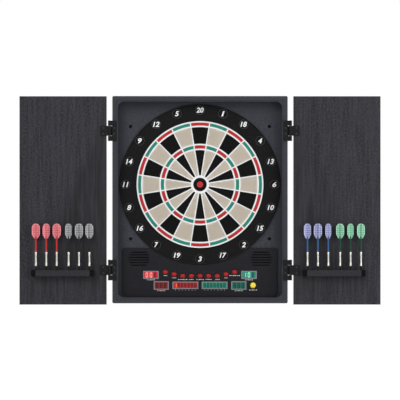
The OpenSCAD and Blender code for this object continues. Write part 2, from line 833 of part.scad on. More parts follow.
// Leaves on the doors' inner faces, each ending in a barrel round the pin.
module hinge_leaves(side) color([0.15, 0.15, 0.16]) on_face() on_side(side)
    for (z = hinge_rows) difference() {
        union() {
            layer(door_face, door_face + leaf_t) {
                translate([axis_x, z - leaf_h / 2])
                    square([hinge_gap / 2 + leaf_reach - leaf_round, leaf_h]);
                for (y = [-leaf_h / 2 + leaf_round, leaf_h / 2 - leaf_round])
                    translate([door_x + leaf_reach - leaf_round, z + y]) circle(leaf_round);
                translate([door_x, z - leaf_h / 2 + leaf_round])
                    square([leaf_reach, leaf_h - 2 * leaf_round]);
            }
            translate([axis_x, z + leaf_h / 2, axis_out]) rotate([90, 0, 0])
                cylinder(r = barrel_r, h = leaf_h);
        }
        leaf_screw_places(z) screw_hole(leaf_screw_l);
        translate([axis_x, z + leaf_h / 2 + cut, axis_out]) rotate([90, 0, 0])
            cylinder(r = pin_r + run_gap, h = leaf_h + 2 * cut);
    }

module hinge_pins(side) color([0.55, 0.55, 0.57]) on_face() on_side(side)
    for (z = hinge_rows) translate([axis_x, z, axis_out]) rotate([-90, 0, 0]) {
        translate([0, 0, -bracket_h / 2]) cylinder(r = pin_r, h = bracket_h);
        translate([0, 0, bracket_h / 2]) cylinder(r = pin_head_r, h = pin_head_h);
    }

// The doors.

function rack_x(side) = door_x + door_w / 2 + (side == LEFT ? rack_shift_left : rack_shift_right);
rack_screw_x = rack_l / 2 - rack_screw_in;

module rack_screw_places(side) {
    for (x = [-rack_screw_x, rack_screw_x])
        translate([rack_x(side) + x, rack_top - rack_h / 2, door_face + rack_d]) children();
}

module door_panel(side) color([0.2, 0.2, 0.22]) on_face() on_side(side) difference() {
    layer(door_face - door_t, door_face)
        translate([door_x, door_low]) square([door_w, door_high - door_low]);
    for (z = hinge_rows) leaf_screw_places(z) screw_hole(leaf_screw_l);
    rack_screw_places(side) screw_hole(rack_screw_l);
}

// Where a rack's holes lie from its middle, in two sets of three.
function dart_offset(i) = (i - (DART_COUNT + 1) / 2) * dart_pitch
    + (i <= DART_COUNT / 2 ? -set_gap / 2 : set_gap / 2);

module dart_rack(side) color([0.14, 0.14, 0.15]) on_face() on_side(side) difference() {
    union() {
        translate([rack_x(side) - rack_l / 2, rack_low, door_face]) cube([rack_l, rack_h, rack_d]);
        for (x = [-rack_l / 2, rack_l / 2 - rack_end_l])
            translate([rack_x(side) + x, rack_low - rack_end_proud, door_face])
                cube([rack_end_l, rack_h + 2 * rack_end_proud, rack_d + rack_end_proud]);
    }
    for (i = [1:DART_COUNT]) translate([rack_x(side) + dart_offset(i), rack_top + cut, dart_axis_out])
        rotate([90, 0, 0]) cylinder(r = rack_hole_r, h = rack_top + cut - rack_floor);
    rack_screw_places(side) screw_hole(rack_screw_l);
}

module door_screws(side) color([0.35, 0.35, 0.36]) on_face() on_side(side) {
    for (z = hinge_rows) leaf_screw_places(z) screw(leaf_screw_l);
    rack_screw_places(side) screw(rack_screw_l);
}

// The darts. Each stands on its own axis, with its heights measured from the bull.

// A wing's reach at a share of its height, from its foot to its rounded top.
function wing_reach(share) = flight_r
    * (flight_foot + (1 - flight_foot) * pow(sin(90 * min(share / swell_end, 1)), swell_power))
    * sqrt(max(1 - pow(max(share - round_start, 0) / (1 - round_start), round_power), 0));

module flight() {
    right_edge = [for (i = [0:flight_steps - 1]) let (share = i / flight_steps)
        [wing_reach(share), share * flight_h]];
    left_edge = [for (i = [flight_steps - 1:-1:0]) [-right_edge[i][0], right_edge[i][1]]];
    top = [[flight_r * flight_top, flight_h], [-flight_r * flight_top, flight_h]];
    for (turn = [0, 90]) rotate(turn) rotate([90, 0, 0]) translate([0, 0, -wing_t / 2])
        linear_extrude(wing_t) polygon(concat(right_edge, top, left_edge));
}

// The soft tip, with the threaded stub that screws into the barrel.
module dart_tip() {
    translate([0, 0, tip_end]) rotate_extrude($fn = SMALL_FN) polygon([[0, 0], [point_r, 0],
        [tip_r, tip_l - tip_flange_h], [tip_flange_r, tip_l - tip_flange_h],
        [tip_flange_r, tip_l], [0, tip_l]]);
    translate([0, 0, tip_end + tip_l - run_gap]) cylinder(r = thread_r, h = thread_l + run_gap);
}

// The barrel: two thicker ends, a waist to hold, and a threaded bore at each end.
module dart_barrel() {
    bore = thread_l + 2 * run_gap;
    translate([0, 0, barrel_low]) difference() {
        rotate_extrude($fn = SMALL_FN) polygon([[0, 0], [tip_flange_r, 0],
            [grip_r, barrel_edge], [grip_r, barrel_cone], [waist_r, barrel_cone + turned_slope],
            [waist_r, barrel_l - barrel_cone], [grip_r, barrel_l - barrel_cone / 2],
            [shaft_collar_r, barrel_l], [0, barrel_l]]);
        translate([0, 0, -cut]) cylinder(r = thread_r + run_gap, h = bore + cut);
        translate([0, 0, barrel_l - bore]) cylinder(r = thread_r + run_gap, h = bore + cut);
    }
}

// The shaft: a threaded stub below, a collar, and crossed slots for the flight at the top.
module dart_shaft(turn) {
    difference() {
        translate([0, 0, shaft_low]) rotate_extrude($fn = SMALL_FN) polygon([[0, -thread_l],
            [thread_r, -thread_l], [thread_r, 0], [shaft_collar_r, 0],
            [shaft_collar_r, shaft_collar_h], [shaft_r, shaft_collar_h + turned_slope],
            [shaft_r, shaft_l + flight_grip], [0, shaft_l + flight_grip]]);
        for (a = [0, 90]) rotate(turn + a)
            translate([-flight_r, -wing_t / 2 - slot_gap, flight_low - slot_gap])
                cube([2 * flight_r, wing_t + 2 * slot_gap, flight_grip + cut]);
    }
}

module dart(side, i) {
    turn = dart_turns[(side == LEFT ? 0 : DART_COUNT) + i - 1];
    from_axis = side == LEFT ? DART_COUNT + 1 - i : i;
    first_set = i <= DART_COUNT / 2;
    set_color = side == LEFT ? (first_set ? "firebrick" : "dimgray")
        : (first_set ? "royalblue" : "seagreen");
    translate([side * (rack_x(side) + dart_offset(from_axis)), -dart_axis_out, bull_z]) {
        color([0.1, 0.1, 0.1]) dart_tip();
        color("silver") dart_barrel();
        color(set_color) {
            dart_shaft(turn);
            translate([0, 0, flight_low]) rotate(turn) flight();
        }
    }
}

front_shell();
rear_shell();
console_panel();
number_ring();
web();
singles_black();
singles_cream();
rings_red();
rings_green();
outer_bull();
inner_bull();
sensor_mat();
backing_plate();
control_board();
display_modules();
display_bezels();
red_display_windows();
green_display_windows();
button_switches();
speakers();
dc_socket();
case_screws();
board_screws();
yellow_button();
for (i = [1:RED_COUNT])
    red_button(i - 1);
hinge_brackets(LEFT);  // left_hinge_brackets
hinge_brackets(RIGHT);  // right_hinge_brackets
bracket_screws();
hinge_leaves(LEFT);  // left_hinge_leaves
hinge_leaves(RIGHT);  // right_hinge_leaves
hinge_pins(LEFT);  // left_hinge_pins
hinge_pins(RIGHT);  // right_hinge_pins
door_panel(LEFT);  // left_door_panel
door_panel(RIGHT);  // right_door_panel
dart_rack(LEFT);  // left_dart_rack
dart_rack(RIGHT);  // right_dart_rack
door_screws(LEFT);  // left_door_screws
door_screws(RIGHT);  // right_door_screws
for (i = [1:DART_COUNT]) {
    dart(LEFT, i);
    dart(RIGHT, i);
}
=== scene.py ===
# %% [markdown]
# # An electronic dart board in its cabinet
#
# The construction of this cabinet is already drawn as solid pieces: casing, web, segments, doors,
# hinges, racks and darts. This lesson dresses them. Some solids are copied and get their edges
# rounded, some are rebuilt with more detail than a construction needs, and all get a finish.
# Everything is in metres, +X is right, +Z is up, and the board faces -Y.

# %% Load the construction
import json
import math
from functools import partial

import bmesh
import bpy
from mathutils import Matrix, Vector


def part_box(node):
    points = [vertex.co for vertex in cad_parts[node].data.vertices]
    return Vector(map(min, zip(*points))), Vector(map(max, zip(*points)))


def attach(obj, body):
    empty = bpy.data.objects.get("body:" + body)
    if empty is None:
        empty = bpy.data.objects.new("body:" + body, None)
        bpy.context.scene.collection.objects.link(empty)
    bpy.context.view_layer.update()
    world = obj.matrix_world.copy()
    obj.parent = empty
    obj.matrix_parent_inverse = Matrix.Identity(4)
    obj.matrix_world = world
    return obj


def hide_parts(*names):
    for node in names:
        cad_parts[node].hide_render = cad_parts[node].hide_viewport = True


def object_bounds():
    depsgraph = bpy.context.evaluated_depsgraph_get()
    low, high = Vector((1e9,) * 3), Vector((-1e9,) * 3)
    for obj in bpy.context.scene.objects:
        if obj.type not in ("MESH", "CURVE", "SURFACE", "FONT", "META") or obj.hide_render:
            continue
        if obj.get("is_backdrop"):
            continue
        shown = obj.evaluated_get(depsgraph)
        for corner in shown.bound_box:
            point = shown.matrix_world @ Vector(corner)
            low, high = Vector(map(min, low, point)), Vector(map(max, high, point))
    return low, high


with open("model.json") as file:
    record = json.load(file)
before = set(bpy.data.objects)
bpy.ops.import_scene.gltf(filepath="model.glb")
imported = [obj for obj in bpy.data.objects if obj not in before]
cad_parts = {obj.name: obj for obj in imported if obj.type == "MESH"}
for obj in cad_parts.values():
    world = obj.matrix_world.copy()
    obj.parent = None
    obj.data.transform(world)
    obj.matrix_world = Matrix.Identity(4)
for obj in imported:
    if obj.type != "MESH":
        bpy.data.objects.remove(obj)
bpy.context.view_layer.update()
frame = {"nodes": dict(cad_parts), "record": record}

MM = 0.001

# %% [markdown]
# ## Finding things in the construction
#
# Nothing is placed by eye. Each new piece takes its place and size from the box of the solid that
# it dresses, so it still fits when the construction changes. A piece that stands for a solid also
# rides on the same body, and the solid is hidden; one function does both.

# %% Bodies, slots, boxes and separate solids
body_of = {node: body for body, nodes in frame["record"]["behaviour"]["bodies"].items()
           for node in nodes}
slot_of = {part["node"]: part["material_slot"] for part in frame["record"]["subparts"]}
MERGE = 0.001 * MM


def merged_copy(node):
    """A bmesh copy of a solid, with the corners that its loose triangles share made one."""
    shape = bmesh.new()
    shape.from_mesh(frame["nodes"][node].data)
    bmesh.ops.remove_doubles(shape, verts=shape.verts, dist=MERGE)
    return shape


def solids_of(node):
    """The points of each separate solid in a node, in the same order on every run."""
    shape = merged_copy(node)
    found, seen = [], set()
    for first in shape.verts:
        if first in seen:
            continue
        solid, waiting = {first}, [first]
        while waiting:
            vertex = waiting.pop()
            for edge in vertex.link_edges:
                other = edge.other_vert(vertex)
                if other not in solid:
                    solid.add(other)
                    waiting.append(other)
        seen |= solid
        found.append(sorted((vertex.co.copy() for vertex in solid), key=tuple))
    shape.free()
    return found


def box_of(points):
    low = Vector(min(point[axis] for point in points) for axis in range(3))
    high = Vector(max(point[axis] for point in points) for axis in range(3))
    return low, high


def middle(box):
    return (box[0] + box[1]) / 2


bull = middle(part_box("inner_bull"))
print("the bull is at", tuple(round(c / MM, 1) for c in bull), "mm")

# %% New pieces, and pieces that stand for a solid
def new_piece(name, shape, *materials):
    """An object at the origin with the mesh, or the bmesh, given; its place is in its points."""
    if isinstance(shape, bmesh.types.BMesh):
        mesh = bpy.data.meshes.new(name)
        shape.to_mesh(mesh)
        shape.free()
    else:
        mesh = shape
    for material in materials:
        mesh.materials.append(material)
    piece = bpy.data.objects.new(name, mesh)
    bpy.context.scene.collection.objects.link(piece)
    return piece


def put_on(piece, body):
    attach(piece, body)


def stand_for(piece, node):
    put_on(piece, body_of[node])
    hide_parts(node)


def count(piece):
    piece.data.calc_loop_triangles()
    print(f"{piece.name}: {len(piece.data.loop_triangles)} triangles")


def smoothed(piece, angle=32):
    """Shades the piece smooth, apart from edges sharper than the angle in degrees."""
    piece.data.shade_smooth()
    piece.data.set_sharp_from_angle(angle=math.radians(angle))


# %% [markdown]
# ## Rounded edges
#
# No moulding, board or casting has a knife edge, and the thin line of light along a rounded edge
# is what makes a solid look real. A Bevel modifier could do it, but it would also round the screw
# slots and the small holes. So the edges are chosen here: convex ones, sharper than an angle, and
# in the part of the solid that a test function lets through. The new points are marked in an
# attribute named edge, which the materials use to show wear there.

# %% A solid's copy with rounded edges
SHARP = math.radians(35)
FLAT = math.radians(0.5)


def eased(node, radius, where=lambda point: True, steps=2, shape=None):
    """A copy of a solid as a bmesh, with the sharp convex edges inside a region rounded."""
    shape = shape or merged_copy(node)
    bmesh.ops.dissolve_limit(shape, angle_limit=FLAT, verts=shape.verts, edges=shape.edges)
    corners = [edge for edge in shape.edges
               if edge.is_convex and edge.calc_face_angle(0) > SHARP
               and all(where(vertex.co) for vertex in edge.verts)]
    rounded = bmesh.ops.bevel(shape, geom=corners, offset=radius, segments=steps, profile=0.5,
                              affect="EDGES", clamp_overlap=False)
    worn = shape.verts.layers.float.new("edge")
    for face in rounded["faces"]:
        for vertex in face.verts:
            vertex[worn] = 1.0
    return shape


def face_weighted(piece):
    """Lets wide flat faces set the shading, so that a rounded edge doesn't smear across them."""
    smoothed(piece)
    weighted = piece.modifiers.new("weighted", "WEIGHTED_NORMAL")
    weighted.keep_sharp = True
    settle(piece)


def settle(piece):
    """Makes what a piece's modifiers give its plain mesh, and removes them."""
    bpy.context.view_layer.update()
    result = bpy.data.meshes.new_from_object(
        piece.evaluated_get(bpy.context.evaluated_depsgraph_get()), preserve_all_data_layers=True,
        depsgraph=bpy.context.evaluated_depsgraph_get())
    piece.modifiers.clear()
    piece.data = result
    result.name = piece.name


def dress(node, radius, material, where=lambda point: True, steps=2):
    """The usual case: a solid's copy with rounded edges and a finish stands for the solid."""
    piece = new_piece(node + "_moulded", eased(node, radius, where, steps), material)
    face_weighted(piece)
    stand_for(piece, node)
    count(piece)
    return piece


# %% [markdown]
# ## Building node trees by hand
#
# Geometry and shader trees are both lists of nodes and links. One helper adds a node, sets its
# properties, and either links or sets each input, which keeps a tree readable from top to bottom.

# %% Tree helpers
def add(tree, kind, feeds=None, **settings):
    """Adds a node; each feed is a socket to link from, or a plain value to set."""
    node = tree.nodes.new(kind)
    for name, value in settings.items():
        setattr(node, name, value)
    for name, value in (feeds or {}).items():
        if isinstance(value, bpy.types.NodeSocket):
            tree.links.new(value, node.inputs[name])
        else:
            node.inputs[name].default_value = value
    return node


def sums(tree, operation, *values):
    """A Math node's result, for two or three numbers or sockets."""
    return add(tree, "ShaderNodeMath", dict(enumerate(values)), operation=operation).outputs[0]


def ranged(tree, value, low, high):
    """Where a value lies between two limits, as a share from 0 to 1."""
    return add(tree, "ShaderNodeMapRange", {"Value": value, "From Min": low,
                                            "From Max": high}).outputs["Result"]


def vector(tree, x=0.0, y=0.0, z=0.0):
    return add(tree, "ShaderNodeCombineXYZ", {"X": x, "Y": y, "Z": z}).outputs[0]


def apart(tree, joined):
    """The X, Y and Z of a vector."""
    return add(tree, "ShaderNodeSeparateXYZ", {0: joined}).outputs


def scatter(tree, points, instance, **feeds):
    """An instance on each point."""
    return add(tree, "GeometryNodeInstanceOnPoints", {"Points": points, "Instance": instance,
                                                      **feeds}).outputs[0]


def stood_up(tree, geometry, centre):
    """What is drawn lying flat, turned to face the front and moved to a centre."""
    return add(tree, "GeometryNodeTransform", {
        "Geometry": geometry, "Translation": centre,
        "Rotation": (math.radians(90), 0, 0)}).outputs[0]


def new_geometry_tree(name, inputs):
    """A geometry tree with named inputs, their sockets, and add and sums for this tree."""
    tree = bpy.data.node_groups.new(name, "GeometryNodeTree")
    tree.interface.new_socket("Geometry", in_out="INPUT", socket_type="NodeSocketGeometry")
    for label, kind, value in inputs:
        socket = tree.interface.new_socket(label, in_out="INPUT", socket_type="NodeSocket" + kind)
        if value is not None:
            socket.default_value = value
    tree.interface.new_socket("Material", in_out="INPUT", socket_type="NodeSocketMaterial")
    tree.interface.new_socket("Geometry", in_out="OUTPUT", socket_type="NodeSocketGeometry")
    given = tree.nodes.new("NodeGroupInput").outputs
    return tree, given, partial(add, tree), partial(sums, tree)


def finish_tree(tree, geometry, given, chosen=True):
    """The usual end of a tree: instances become real, and the chosen faces get their material."""
    real = add(tree, "GeometryNodeRealizeInstances", {0: geometry})
    painted = add(tree, "GeometryNodeSetMaterial", {
        "Geometry": real.outputs[0], "Selection": chosen, "Material": given["Material"]})
    add(tree, "NodeGroupOutput", {0: painted.outputs[0]})
    print(tree.name + ":", len(tree.nodes), "nodes")


def grow(piece, tree, **values):
    """Runs a geometry tree on a piece with the values given by input name, and keeps the result."""
    modifier = piece.modifiers.new(tree.name, "NODES")
    modifier.node_group = tree
    for item in tree.interface.items_tree:
        if item.item_type == "SOCKET" and item.in_out == "INPUT" and item.name in values:
            modifier[item.identifier] = values[item.name]
    settle(piece)
    return piece


# %% [markdown]
# ## Effects that the finishes share
#
# Moulded plastic, painted board and metal differ in colour, but the same few things make each of
# them look real: a fine grain from the mould, a slow drift in tone, rubbed edges, dust on what
# faces up, and finger marks. Each is a node group that only gives numbers, built once. A material
# places the groups with its own values and keeps the Principled shader for itself.

# %% Shader group helpers
def new_group(name, inputs):
    """A shader group with named numbers going in, their sockets, and add and sums for it."""
    group = bpy.data.node_groups.new(name, "ShaderNodeTree")
    for label, value in inputs.items():
        socket = group.interface.new_socket(label, in_out="INPUT", socket_type="NodeSocketFloat")
        socket.default_value = value
    given = group.nodes.new("NodeGroupInput").outputs
    return group, given, partial(add, group), partial(sums, group)


def give(group, **results):
    """Gives a group an output for each result."""
    for label in results:
        group.interface.new_socket(label, in_out="OUTPUT", socket_type="NodeSocketFloat")
    add(group, "NodeGroupOutput", dict(enumerate(results.values())))
    print(group.name + ":", len(group.nodes), "nodes")


def place_of(tree):
    """Object coordinates: a pattern stays put on the piece, wherever the piece moves."""
    return add(tree, "ShaderNodeTexCoord").outputs["Object"]


def noise(tree, scale, detail, roughness=0.5, place=None):
    return add(tree, "ShaderNodeTexNoise", {
        "Vector": place or place_of(tree), "Scale": scale, "Detail": detail,
        "Roughness": roughness}).outputs["Fac"]

# %% Mould grain and slow drift in tone
grain_group, given, put, calc = new_group("mould_grain", {"Scale": 1500.0})
spark = noise(grain_group, given["Scale"], 3.0)
pits = put("ShaderNodeTexVoronoi", {"Vector": place_of(grain_group), "Scale": given["Scale"]})
height = calc("MULTIPLY_ADD", pits.outputs["Distance"], 0.5, spark)
give(grain_group, Height=height, Drift=noise(grain_group, 9.0, 4.0, 0.6))

# %% Rubbed edges, dust and finger marks
wear_group, given, put, calc = new_group("wear", {"Break-up": 220.0})
edge = put("ShaderNodeAttribute", attribute_name="edge").outputs["Fac"]
bare = ranged(wear_group, noise(wear_group, given["Break-up"], 5.0), 0.42, 0.62)
upward = apart(wear_group, put("ShaderNodeNewGeometry").outputs["Normal"])["Z"]
settled = ranged(wear_group, upward, 0.25, 0.95)
thick = ranged(wear_group, noise(wear_group, 420.0, 6.0, 0.7), 0.4, 0.7)
marks = ranged(wear_group, noise(wear_group, 26.0, 5.0, 0.65), 0.35, 0.75)
give(wear_group, Rubbed=calc("MULTIPLY", edge, bare), Dust=calc("MULTIPLY", settled, thick),
     Marks=marks)

# %% [markdown]
# ## The plastics
#
# Nearly everything on the board is moulded plastic, from the slate casing to the cream segments.
# One function makes them all: a tone that drifts a little, edges rubbed lighter, a trace of dust,
# a roughness that finger marks change, and the mould's grain as bump.

# %% Colours and a new material
def paint(red, green, blue):
    """A colour from 0 to 255 as a chart gives it, in the linear light that Blender counts in."""
    def linear(value):
        share = value / 255
        return share / 12.92 if share <= 0.04045 else ((share + 0.055) / 1.055) ** 2.4
    return (linear(red), linear(green), linear(blue), 1.0)


def new_material(name, roughness=0.5, specular=0.5, metallic=0.0, coat=0.0, coat_roughness=0.1):
    """A material, its tree and its Principled shader, with the values that don't vary set."""
    material = bpy.data.materials.new(name)
    material.use_nodes = True
    shader = material.node_tree.nodes["Principled BSDF"]
    shader.inputs["Roughness"].default_value = roughness
    shader.inputs["Specular IOR Level"].default_value = specular
    shader.inputs["Metallic"].default_value = metallic
    shader.inputs["Coat Weight"].default_value = coat
    shader.inputs["Coat Roughness"].default_value = coat_roughness
    return material, material.node_tree, shader


MIX_FIRST, MIX_SECOND, MIX_RESULT = 6, 7, 2     # the Mix node's sockets for colours


def blended(tree, share, first, second):
    """A colour between two, each a colour or a socket, by a share."""
    return add(tree, "ShaderNodeMix", {0: share, MIX_FIRST: first, MIX_SECOND: second},
               data_type="RGBA").outputs[MIX_RESULT]


def lighter(colour, factor):
    return tuple(min(channel * factor, 1.0) for channel in colour[:3]) + (1.0,)


DUST = paint(150, 146, 138)


def worn_colour(tree, colour, drift, rubbed=0.3, dust=0.2, contrast=0.35):
    """The colour a used surface shows: drifting in tone, rubbed along edges, dusty on top."""
    wear = add(tree, "ShaderNodeGroup", node_tree=wear_group)
    base = blended(tree, drift, lighter(colour, 1 - contrast / 2),
                   lighter(colour, 1 + contrast / 2))
    edge_share = sums(tree, "MULTIPLY", wear.outputs["Rubbed"], rubbed)
    rubbed_colour = blended(tree, edge_share, base, lighter(colour, 2.2))
    dust_share = sums(tree, "MULTIPLY", wear.outputs["Dust"], dust)
    return blended(tree, dust_share, rubbed_colour, DUST), wear


def feed(tree, shader, colour, roughness):
    tree.links.new(colour, shader.inputs["Base Color"])
    tree.links.new(roughness, shader.inputs["Roughness"])


def bumped(tree, shader, height, depth, strength=0.6):
    bump = add(tree, "ShaderNodeBump", {"Height": height, "Distance": depth,
                                        "Strength": strength})
    tree.links.new(bump.outputs[0], shader.inputs["Normal"])


def moulded(name, colour, roughness=0.5, specular=0.4, grain=1500.0, depth=0.05 * MM,
            rubbed=0.3, dust=0.2, marks=0.15, coat=0.0, contrast=0.35):
    """A moulded plastic finish."""
    material, tree, shader = new_material(name, roughness, specular, coat=coat)
    mould = add(tree, "ShaderNodeGroup", node_tree=grain_group)
    mould.inputs["Scale"].default_value = grain
    worn, wear = worn_colour(tree, colour, mould.outputs["Drift"], rubbed, dust, contrast)
    feed(tree, shader, worn,
         sums(tree, "MULTIPLY_ADD", wear.outputs["Marks"], -marks, roughness + marks / 2))
    bumped(tree, shader, mould.outputs["Height"], depth)
    return material


# %% The board's plastics
casing_plastic = moulded("casing_plastic", paint(47, 48, 54), 0.5, 0.13)
rear_plastic = moulded("rear_plastic", paint(34, 34, 36), 0.6, 0.15)
console_plastic = moulded("console_plastic", paint(26, 25, 29), 0.42, 0.08, grain=2200)
# rubbed=0.5 lightens the ring's rounded edges, the dish edges among them: partly rubbed wear,
# partly a painted highlight along them.
ring_plastic = moulded("ring_plastic", paint(15, 15, 16), 0.45, 0.06, rubbed=0.5)
web_plastic = moulded("web_plastic", paint(220, 220, 220), 0.4, 0.3, rubbed=0.0, dust=0.1,
                      contrast=0.06)
black_segment = moulded("black_segment", paint(17, 17, 17), 0.5, 0.06)
cream_segment = moulded("cream_segment", paint(195, 185, 170), 0.5, 0.2, rubbed=0.1, contrast=0.12)
red_segment = moulded("red_segment", paint(184, 48, 52), 0.45, 0.15, rubbed=0.1, contrast=0.15)
green_segment = moulded("green_segment", paint(44, 134, 116), 0.45, 0.15, rubbed=0.1,
                        contrast=0.15)
hole_shade = moulded("hole_shade", paint(44, 40, 36), 0.8, 0.05, rubbed=0.0, dust=0.0)
hinge_plastic = moulded("hinge_plastic", paint(19, 19, 20), 0.4, 0.1)
rack_plastic = moulded("rack_plastic", paint(36, 36, 40), 0.5, 0.12)
rubber_black = moulded("rubber_black", paint(9, 9, 10), 0.7, 0.05)
red_button_plastic = moulded("red_button_plastic", paint(158, 28, 26), 0.35, 0.2, depth=0.01 * MM,
                             rubbed=0.1, contrast=0.1)
yellow_button_plastic = moulded("yellow_button_plastic", paint(234, 212, 66), 0.3, 0.3,
                                depth=0.01 * MM, rubbed=0.1, contrast=0.1)
silver_paint = moulded("silver_paint", paint(120, 120, 124), 0.4, 0.3, depth=0.01 * MM,
                       rubbed=0.1, contrast=0.1)
print("plastics:", len(bpy.data.materials))

# %% [markdown]
# ## The casing
#
# The casing is one deep moulding: a rim with a raised band, a recess with round corners, and a
# panel with holes for the wall screws. Its front edges are rounded in one go, apart from those on
# the narrow land round the hinge brackets' pockets, where two rounded edges would overlap.

# %% Casing, rear cover, console and number ring
SKIN = 0.1 * MM             # how far behind a front face its points still count as on it
PAST_LAND = 0.4 * MM
EASED_DEPTH = 45 * MM       # the back of the casing stays sharp, against the rear cover
shell_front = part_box("front_shell")[0].y
bracket_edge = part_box("right_hinge_brackets")[0].x


def casing_front(point):
    """The front of the casing, but not the narrow land round the hinge brackets' pockets."""
    on_land = point.y < shell_front + SKIN and abs(point.x) < bracket_edge + PAST_LAND
    return point.y < shell_front + EASED_DEPTH and not on_land


def outline_of(node):
    """A test for points on the outer edge of a flat part, as seen from the front."""
    low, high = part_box(node)

    def on_outline(point):
        return any(abs(point[axis] - bound[axis]) < 0.05 * MM for axis in (0, 2)
                   for bound in (low, high))
    return on_outline


dress("front_shell", 0.7 * MM, casing_plastic, where=casing_front)
dress("rear_shell", 0.6 * MM, rear_plastic, where=outline_of("rear_shell"))
dress("console_panel", 0.5 * MM, console_plastic)
dress("number_ring", 0.25 * MM, ring_plastic)

# %% [markdown]
# ## The web
#
# The web is the white grid that parts the scoring segments. Darts that miss a hole strike it and
# slide off, so its front edges are well rounded.

# %% Web
web_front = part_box("web")[0].y
dress("web", 0.5 * MM, web_plastic, where=lambda point: point.y < web_front + SKIN)

# %% [markdown]
# ## Perforated segments
#
# A soft tip holds in a hole, so every segment is covered in small holes in rows that run out from
# the bull. Thousands of holes follow one rule, which is work for Geometry Nodes: a grid of points
# in one sector, thinned to the bands that hold segments, repeated round the bull, with a small
# six-sided plug on each point. One boolean then takes all the plugs out of the segments.

# %% The perforation tree
holes_tree, given, put, calc = new_geometry_tree("perforations", [
    ("Pitch", "Float", 3.7 * MM), ("Hole radius", "Float", 1.2 * MM),
    ("Depth", "Float", 3 * MM), ("Reach", "Float", 170 * MM), ("Sectors", "Int", 10),
    ("Turn", "Float", 0.0), ("Half angle", "Float", math.radians(9)),
    ("Side margin", "Float", 3.2 * MM), ("Band 1 in", "Float", 0.0), ("Band 1 out", "Float", 0.0),
    ("Band 2 in", "Float", 0.0), ("Band 2 out", "Float", 0.0), ("Centre", "Vector", (0, 0, 0)),
    ("Hole material", "Material", None)])


def rows_in(reach, step):
    """An odd number of points, a step apart, that covers the reach both ways, and its length."""
    half = calc("FLOOR", calc("DIVIDE", reach, step))
    length = calc("MULTIPLY", calc("MULTIPLY", half, 2.0), step)
    return calc("MULTIPLY_ADD", half, 2.0, 1.0), length


def own_place(tree):
    """The X, Y and Z of each point."""
    return apart(tree, add(tree, "GeometryNodeInputPosition").outputs[0])


row_step = calc("MULTIPLY", given["Pitch"], math.sin(math.radians(60)))
columns, length = rows_in(given["Reach"], given["Pitch"])
rows, breadth = rows_in(given["Reach"], row_step)
grid = put("GeometryNodeMeshGrid", {"Size X": length, "Size Y": breadth,
                                    "Vertices X": columns, "Vertices Y": rows})
row = calc("ROUND", calc("DIVIDE", own_place(holes_tree)["Y"], row_step))
shift = calc("MULTIPLY", calc("MULTIPLY", calc("FLOORED_MODULO", row, 2.0), 0.5), given["Pitch"])
staggered = put("GeometryNodeSetPosition", {"Geometry": grid.outputs[0],
                                            "Offset": vector(holes_tree, shift)})

# %% Which points of the sector lie on a segment
here = own_place(holes_tree)
radius = calc("SQRT", calc("ADD", calc("MULTIPLY", here["X"], here["X"]),
                           calc("MULTIPLY", here["Y"], here["Y"])))


def inside(band):
    return calc("MULTIPLY", calc("GREATER_THAN", radius, given[band + " in"]),
                calc("LESS_THAN", radius, given[band + " out"]))


on_band = calc("MAXIMUM", inside("Band 1"), inside("Band 2"))
from_bar = calc("SUBTRACT", calc("MULTIPLY", here["X"], calc("SINE", given["Half angle"])),
                calc("MULTIPLY", calc("ABSOLUTE", here["Y"]),
                     calc("COSINE", given["Half angle"])))
clear = calc("GREATER_THAN", from_bar, given["Side margin"])
unwanted = calc("SUBTRACT", 1.0, calc("MULTIPLY", on_band, clear))
sector = put("GeometryNodeDeleteGeometry", {"Geometry": staggered.outputs[0],
                                            "Selection": unwanted}, domain="POINT")

# %% Plugs round the bull, and the boolean
plug = put("GeometryNodeMeshCylinder", {"Vertices": 6, "Radius": given["Hole radius"],
                                        "Depth": calc("MULTIPLY", given["Depth"], 2.0)})
shaded = put("GeometryNodeSetMaterial", {"Geometry": plug.outputs["Mesh"],
                                         "Material": given["Hole material"]})
plugs = scatter(holes_tree, sector.outputs[0], shaded.outputs[0])
hub = put("GeometryNodeMeshLine", {"Count": given["Sectors"], "Offset": (0, 0, 0)})
turn = calc("MULTIPLY_ADD", put("GeometryNodeInputIndex").outputs[0],
            calc("DIVIDE", math.tau, given["Sectors"]), given["Turn"])
turned = scatter(holes_tree, hub.outputs[0], plugs, Rotation=vector(holes_tree, z=turn))
loose = put("GeometryNodeRealizeInstances", {0: turned})
drilled = put("GeometryNodeMeshBoolean", {
    "Mesh 1": given["Geometry"],
    "Mesh 2": stood_up(holes_tree, loose.outputs[0], given["Centre"])},
    operation="DIFFERENCE", solver="MANIFOLD")
in_hole = put("GeometryNodeMaterialSelection", {"Material": given["Hole material"]})
surface = put("FunctionNodeBooleanMath", {0: in_hole.outputs[0]}, operation="NOT")
finish_tree(holes_tree, drilled.outputs[0], given, surface.outputs[0])

# %% Read the bands from the segments, and drill them
HOLE_RADIUS = 1.2 * MM
LAND = 0.6 * MM             # what is left between a hole and its segment's edge


def bands_of(node):
    """The inner and outer radius of each ring of segments in a node, from the inside out."""
    bands = set()
    for points in solids_of(node):
        reach = [math.hypot(point.x - bull.x, point.z - bull.z) for point in points]
        bands.add((round(min(reach), 4), round(max(reach), 4)))
    return sorted(bands)


def drill(node, material, bands, **values):
    """A segment set with eased front edges and its perforations."""
    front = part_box(node)[0].y
    piece = new_piece(node + "_drilled",
                      eased(node, 0.3 * MM, lambda point: point.y < front + SKIN, steps=1),
                      material)
    margin = HOLE_RADIUS + LAND
    limits = {}
    for number, (low, high) in enumerate(bands, 1):
        limits[f"Band {number} in"] = low + margin
        limits[f"Band {number} out"] = high - margin
    grow(piece, holes_tree, Reach=bands[-1][1], Centre=(bull.x, front, bull.z),
         Material=material, **{"Hole radius": HOLE_RADIUS, "Hole material": hole_shade},
         **limits, **values)
    smoothed(piece)
    stand_for(piece, node)
    count(piece)
    return piece


